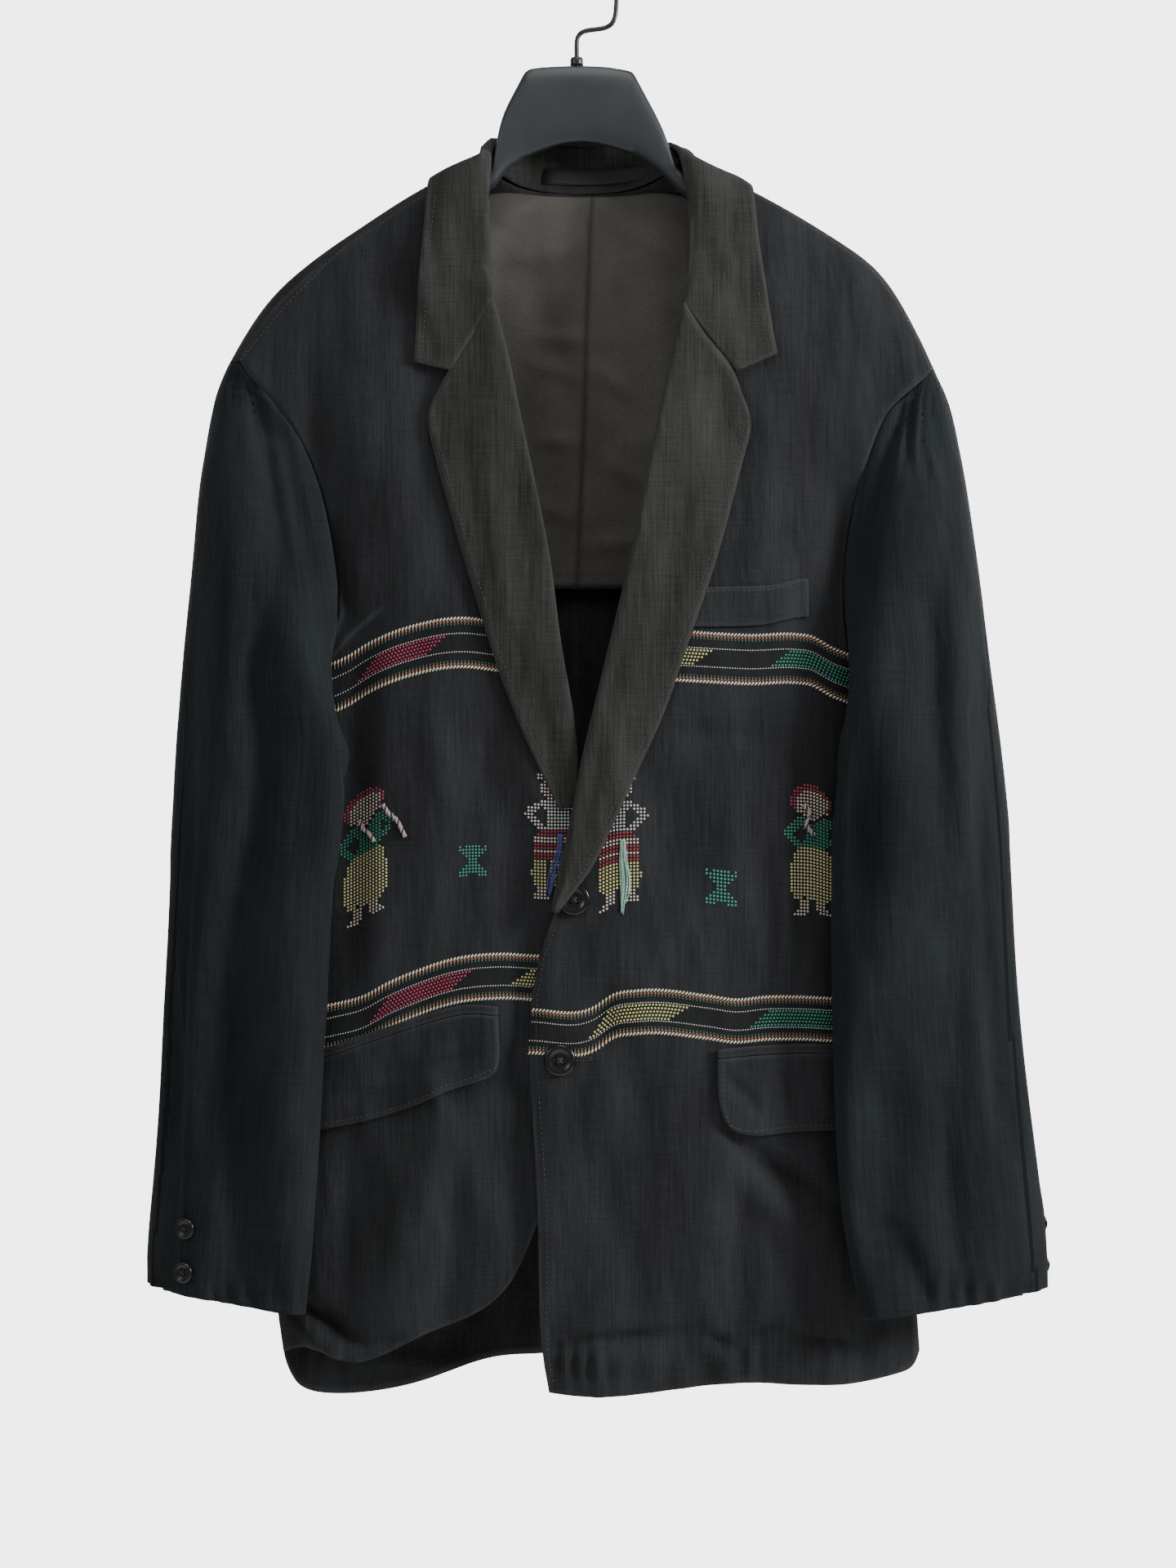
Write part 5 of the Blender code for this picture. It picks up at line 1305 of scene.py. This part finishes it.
def make_button(name, node, material, thread):
    """A four-hole button with a raised rim, and the crossed thread that holds it."""
    centre, axis, radius, thick = plane_of(node)
    place = Matrix.Translation(centre - axis * thick / 2) @ axis.to_track_quat("Z", "Y").to_matrix().to_4x4()
    form = turned_form([(r * radius, h * thick) for r, h in BUTTON_PROFILE], BUTTON_SIDES)
    body = linked(name + "_draft", mesh_of(form, name))
    cutter = bmesh.new()
    for sx in (-1, 1):
        for sy in (-1, 1):
            spot = Matrix.Translation((sx * HOLE_SPREAD * radius, sy * HOLE_SPREAD * radius, thick / 2))
            rod(cutter, 12, HOLE_RADIUS * radius, 4 * thick, spot)
    holes = linked(name + "_holes", mesh_of(cutter, name + "_holes"))
    cut = body.modifiers.new("holes", "BOOLEAN")
    cut.object = holes
    cut.operation = "DIFFERENCE"
    cut.solver = "EXACT"
    made = settled_mesh(body)
    bpy.data.objects.remove(body)
    bpy.data.objects.remove(holes)
    made.transform(place)
    piece = new_piece(name, made, material)
    made.set_sharp_from_angle(angle=math.radians(40))
    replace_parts(piece, node)
    bars = bmesh.new()
    for turn in (45, -45):
        side = Matrix.Rotation(math.radians(turn), 4, "Z") @ Matrix.Rotation(math.radians(90), 4, "Y")
        lift = Matrix.Translation((0, 0, 0.66 * thick + 0.02 * radius))
        rod(bars, 8, BAR_RADIUS * radius, BAR_LENGTH * radius, place @ lift @ side)
    new_piece(name + "_thread", mesh_of(bars, name + "_thread"), thread)


class JacketButtons(bpy.types.Operator):
    """Makes the two front buttons and the four cuff buttons, with their thread."""

    bl_idname = "jacket.buttons"
    bl_label = "Buttons"

    def execute(self, context):
        fittings = context.scene.jacket_fittings
        resin = moulded_plastic("cast_button_resin", fittings.button, 0.22, 0.7)
        thread = spun_thread("black_button_thread", linear("242426"))
        for node in frame["nodes"]:
            if "button" in node:
                make_button("resin_" + node, node, resin, thread)
        return {"FINISHED"}


THREAD_SIDES = 5


def thread_tube(bm, points, radius):
    """Adds a fine round thread along points, as rings bridged one to the next."""
    points = [Vector(p) for p in points]
    rings = []
    for i, point in enumerate(points):
        ahead = (points[min(i + 1, len(points) - 1)] - points[max(i - 1, 0)]).normalized()
        ring = bmesh.ops.create_circle(
            bm, cap_ends=False, segments=THREAD_SIDES, radius=radius,
            matrix=Matrix.Translation(point) @ ahead.to_track_quat("Z", "Y").to_matrix().to_4x4(),
        )["verts"]
        rings.append(ring)
    for one, two in zip(rings, rings[1:]):
        edges = {e for v in one for e in v.link_edges if e.other_vert(v) in one}
        edges |= {e for v in two for e in v.link_edges if e.other_vert(v) in two}
        bmesh.ops.bridge_loops(bm, edges=list(edges))
    for ring in (rings[0], rings[-1]):
        bmesh.ops.contextual_create(bm, geom=ring)


# The threads of the tassels and the middle lines of the plaits, as (x, z).
STRANDS = {
    "thread_tassel_mint": {
        "front": "left", "colour": "mint", "radius": 0.42,
        "ways": (
            ((29.4, -591.6), (28.6, -606), (29.2, -620), (29.8, -638)),
            ((30.6, -591.6), (30.4, -606), (31.4, -621), (30.2, -639)),
            ((31.4, -592), (32.2, -606), (33.4, -620), (31.0, -637)),
            ((32.0, -592), (33.2, -605), (35.6, -622), (32.0, -634)),
            ((29.9, -592), (29.6, -607), (30.4, -622), (29.6, -640)),
            ((31.9, -592), (31.6, -604), (34.6, -615), (34.4, -629)),
            ((30.9, -592), (31.2, -608), (32.4, -622), (30.8, -641)),
        ),
    },
    "thread_tassel_blue": {
        "front": "right", "colour": "blue", "radius": 0.42,
        "ways": (
            ((-10.8, -588), (-12.0, -600), (-16.0, -612), (-18.6, -627)),
            ((-9.8, -588), (-11.0, -601), (-14.4, -613), (-17.2, -628)),
            ((-11.6, -588), (-13.2, -600), (-17.6, -612), (-19.6, -625)),
            ((-9.2, -588), (-9.8, -602), (-12.8, -614), (-16.4, -626)),
            ((-10.2, -588), (-11.6, -602), (-15.2, -614), (-18.0, -629)),
        ),
    },
}
PLAITS = {
    "thread_braid_right_outer": ("right", ((-145, -579), (-142, -585), (-138, -588), (-134.5, -593))),
    "thread_braid_right_inner": ("right", ((-128.5, -568.5), (-124, -575), (-119, -579), (-113.5, -590))),
    "thread_braid_left": ("left", ((151, -568.5), (155, -574), (153, -582), (158, -589))),
}
PLAIT_PITCH, PLAIT_THREAD = 6.5, 0.55  # length of one turn of a plait, and the radius of its threads


def smooth_way(points, count):
    """Evenly stepped points on a smooth line through a few."""
    p = np.array(points, float)
    slope = np.gradient(p, axis=0)
    out = []
    for t in np.linspace(0, len(p) - 1, count):
        i = min(int(t), len(p) - 2)
        near, far, leave, arrive = hermite(t - i)
        out.append(near * p[i] + far * p[i + 1] + leave * slope[i] + arrive * slope[i + 1])
    return np.array(out)


def run_of(line):
    """How far along a line each of its points lies."""
    return np.concatenate([[0], np.cumsum(np.linalg.norm(np.diff(line, axis=0), axis=1))])


def lying(tree, way, clear):
    """The points of a way, laid on the cloth with its underside at a height."""
    out = []
    for x, z in way:
        found = on_cloth(tree, x, z)
        if found is None:
            raise RuntimeError(f"no cloth under the thread at {x:.0f}, {z:.0f}")
        out.append(found[0] + Vector((0, -clear * MM, 0)))
    return out


class JacketThreads(bpy.types.Operator):
    """Makes the loose tassels and the plaits of the figures."""

    bl_idname = "jacket.threads"
    bl_label = "Loose Threads"

    def execute(self, context):
        fittings = context.scene.jacket_fittings
        for node, tassel in STRANDS.items():
            tree = surface_of([f"cloth_front_{tassel['front']}"])
            bm = bmesh.new()
            for i, way in enumerate(tassel["ways"]):
                line = lying(tree, smooth_way(way, 18), 1.0 + 0.55 * (i % 3))
                thread_tube(bm, line, tassel["radius"] * MM)
            floss = spun_thread(f"{tassel['colour']}_floss", tuple(getattr(fittings, tassel["colour"])))
            piece = new_piece("cotton_" + node, mesh_of(bm, node), floss)
            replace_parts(piece, node)
        white = spun_thread("white_plait_thread", tuple(fittings.plait))
        pink = spun_thread("pink_plait_thread", linear("c98f96"))
        black = spun_thread("black_plait_thread", linear("1d1d1f"))
        for node, (side, way) in PLAITS.items():
            tree = surface_of([f"cloth_front_{side}"])
            line = np.array(lying(tree, smooth_way(way, 60), 1.7))
            run = run_of(line)
            for k, material in enumerate((white, pink, white, black)):
                phase = 2 * math.pi * (run / (PLAIT_PITCH * MM) + k / 4)
                path = line.copy()
                path[:, 0] += 0.85 * MM * np.cos(phase)
                path[:, 2] += 0.4 * MM * np.cos(phase)
                path[:, 1] -= 0.75 * MM * np.sin(phase)
                bm = bmesh.new()
                thread_tube(bm, path, PLAIT_THREAD * MM)
                piece = new_piece(f"cotton_{node}_{k}", mesh_of(bm, node), material)
                if k == 0:
                    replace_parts(piece, node)
        return {"FINISHED"}


def smooth_copy(node, name, material):
    """A finer copy of a hard CAD node."""
    mesh, _ = refined_copy(node)
    for polygon in mesh.polygons:
        polygon.material_index = 0
    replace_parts(new_piece(name, mesh, material), node)


class JacketHanger(bpy.types.Operator):
    """Makes the hanger, its hook and its nut."""

    bl_idname = "jacket.hanger"
    bl_label = "Hanger"

    def execute(self, context):
        fittings = context.scene.jacket_fittings
        plastic = moulded_plastic("satin_moulded_abs", fittings.hanger, 0.42, 0.4)
        wire = blackened_wire("blackened_steel_wire", fittings.steel)
        smooth_copy("hanger_body", "hanger_shell", plastic)
        smooth_copy("hanger_hook", "hanger_wire", wire)
        smooth_copy("hanger_nut", "hanger_collar_nut", wire)
        return {"FINISHED"}


FLOOR_HALF = 1.5
FRONT_PLANE = -0.045  # Y of the fronts
AIM = Vector((0, 0, -0.5))  # what the lights point at
# Each lamp's name, place, diameter and power in watts.
LAMPS = (
    ("window", (2.3, -1.1, 0.3), 0.8, 78.0),
    ("room", (-1.8, -1.7, 0.3), 1.2, 10.0),
    ("ceiling", (0.2, -0.9, 1.3), 1.2, 14.0),
    ("back window", (1.7, 2.0, 0.3), 1.0, 46.0),
    ("back room", (-1.7, 2.2, 0.1), 1.2, 20.0),
)


class JacketStageMaker(bpy.types.Operator):
    """Makes the floor, the lights and the camera."""

    bl_idname = "jacket.stage"
    bl_label = "Stage"

    def execute(self, context):
        stage = context.scene.jacket_stage
        scene = context.scene
        bm = bmesh.new()
        level = Matrix.Translation((0, 0, stage.floor))
        bmesh.ops.create_grid(bm, x_segments=1, y_segments=1, size=FLOOR_HALF, matrix=level)
        floor = linked("floor", mesh_of(bm, "floor"))
        # Matt painted boards: pale, with only a trace of unevenness.
        made, tree, shader = start_material("matt_pale_paint", 0.9)
        place = add(tree, "ShaderNodeTexCoord").outputs["Object"]
        cloud = add(tree, "ShaderNodeTexNoise", {"Vector": place, "Scale": 2.0})
        colour = tuple(stage.background)
        paint = mixed(tree, cloud.outputs[0], shaded(colour, 0.95), shaded(colour, 1.0))
        tree.links.new(paint, shader.inputs["Base Color"])
        floor.data.materials.append(made)
        world = bpy.data.worlds.new("pale_room")
        world.use_nodes = True
        tree = world.node_tree
        ray = add(tree, "ShaderNodeLightPath").outputs["Is Camera Ray"]
        shown = add(tree, "ShaderNodeMapRange", {0: ray, 3: stage.room_light, 4: stage.backdrop})
        tree.links.new(shown.outputs[0], tree.nodes["Background"].inputs["Strength"])
        tree.nodes["Background"].inputs["Color"].default_value = (*colour, 1)
        scene.world = world
        for name, spot, size, power in LAMPS:
            lamp = bpy.data.lights.new(name, "AREA")
            lamp.shape = "DISK"
            lamp.size = size
            lamp.energy = power
            obj = linked(name, lamp)
            obj.location = spot
            obj.rotation_euler = (AIM - obj.location).to_track_quat("-Z", "Y").to_euler()
        lens = bpy.data.cameras.new("camera")
        lens.sensor_fit = "VERTICAL"
        lens.sensor_height = 36
        lens.lens = stage.lens
        camera = linked("camera", lens)
        camera.location = (stage.camera_x, FRONT_PLANE - stage.distance, stage.camera_z)
        camera.rotation_euler = (math.radians(90), 0, 0)
        scene.camera = camera
        return {"FINISHED"}


PARTS = (
    JacketBody, JacketSleeves, JacketCollar, JacketLining, JacketPockets, JacketWeaving, JacketSewing,
    JacketButtons, JacketThreads, JacketHanger, JacketStageMaker,
)


class JacketPanel(bpy.types.Panel):
    """Lists the pieces and their sizes and colours in the sidebar."""

    bl_idname = "VIEW3D_PT_jacket"
    bl_label = "Jacket"
    bl_space_type = "VIEW_3D"
    bl_region_type = "UI"
    bl_category = "Jacket"

    def draw(self, context):
        for part in PARTS:
            self.layout.operator(part.bl_idname)
        for group in (getattr(context.scene, name) for name in GROUPS):
            box = self.layout.box()
            for name in group.bl_rna.properties.keys():
                if name not in ("rna_type", "name"):
                    box.prop(group, name)


GROUPS = {
    "jacket_cloth": JacketCloth,
    "jacket_brocade": JacketBrocade,
    "jacket_fittings": JacketFittings,
    "jacket_stage": JacketStage,
}


def register():
    """Adds the operators, the panel and the settings to Blender."""
    for kind in (*GROUPS.values(), *PARTS, JacketPanel):
        bpy.utils.register_class(kind)
    for name, group in GROUPS.items():
        setattr(bpy.types.Scene, name, bpy.props.PointerProperty(type=group))


def unregister():
    """Takes the operators, the panel and the settings away again."""
    for name in GROUPS:
        delattr(bpy.types.Scene, name)
    for kind in (JacketPanel, *reversed(PARTS), *GROUPS.values()):
        bpy.utils.unregister_class(kind)


def main():
    """Makes every piece in order."""
    register()
    for part in PARTS:
        group, name = part.bl_idname.split(".")
        getattr(getattr(bpy.ops, group), name)()
    bpy.context.view_layer.update()


if __name__ == "__main__":
    main()
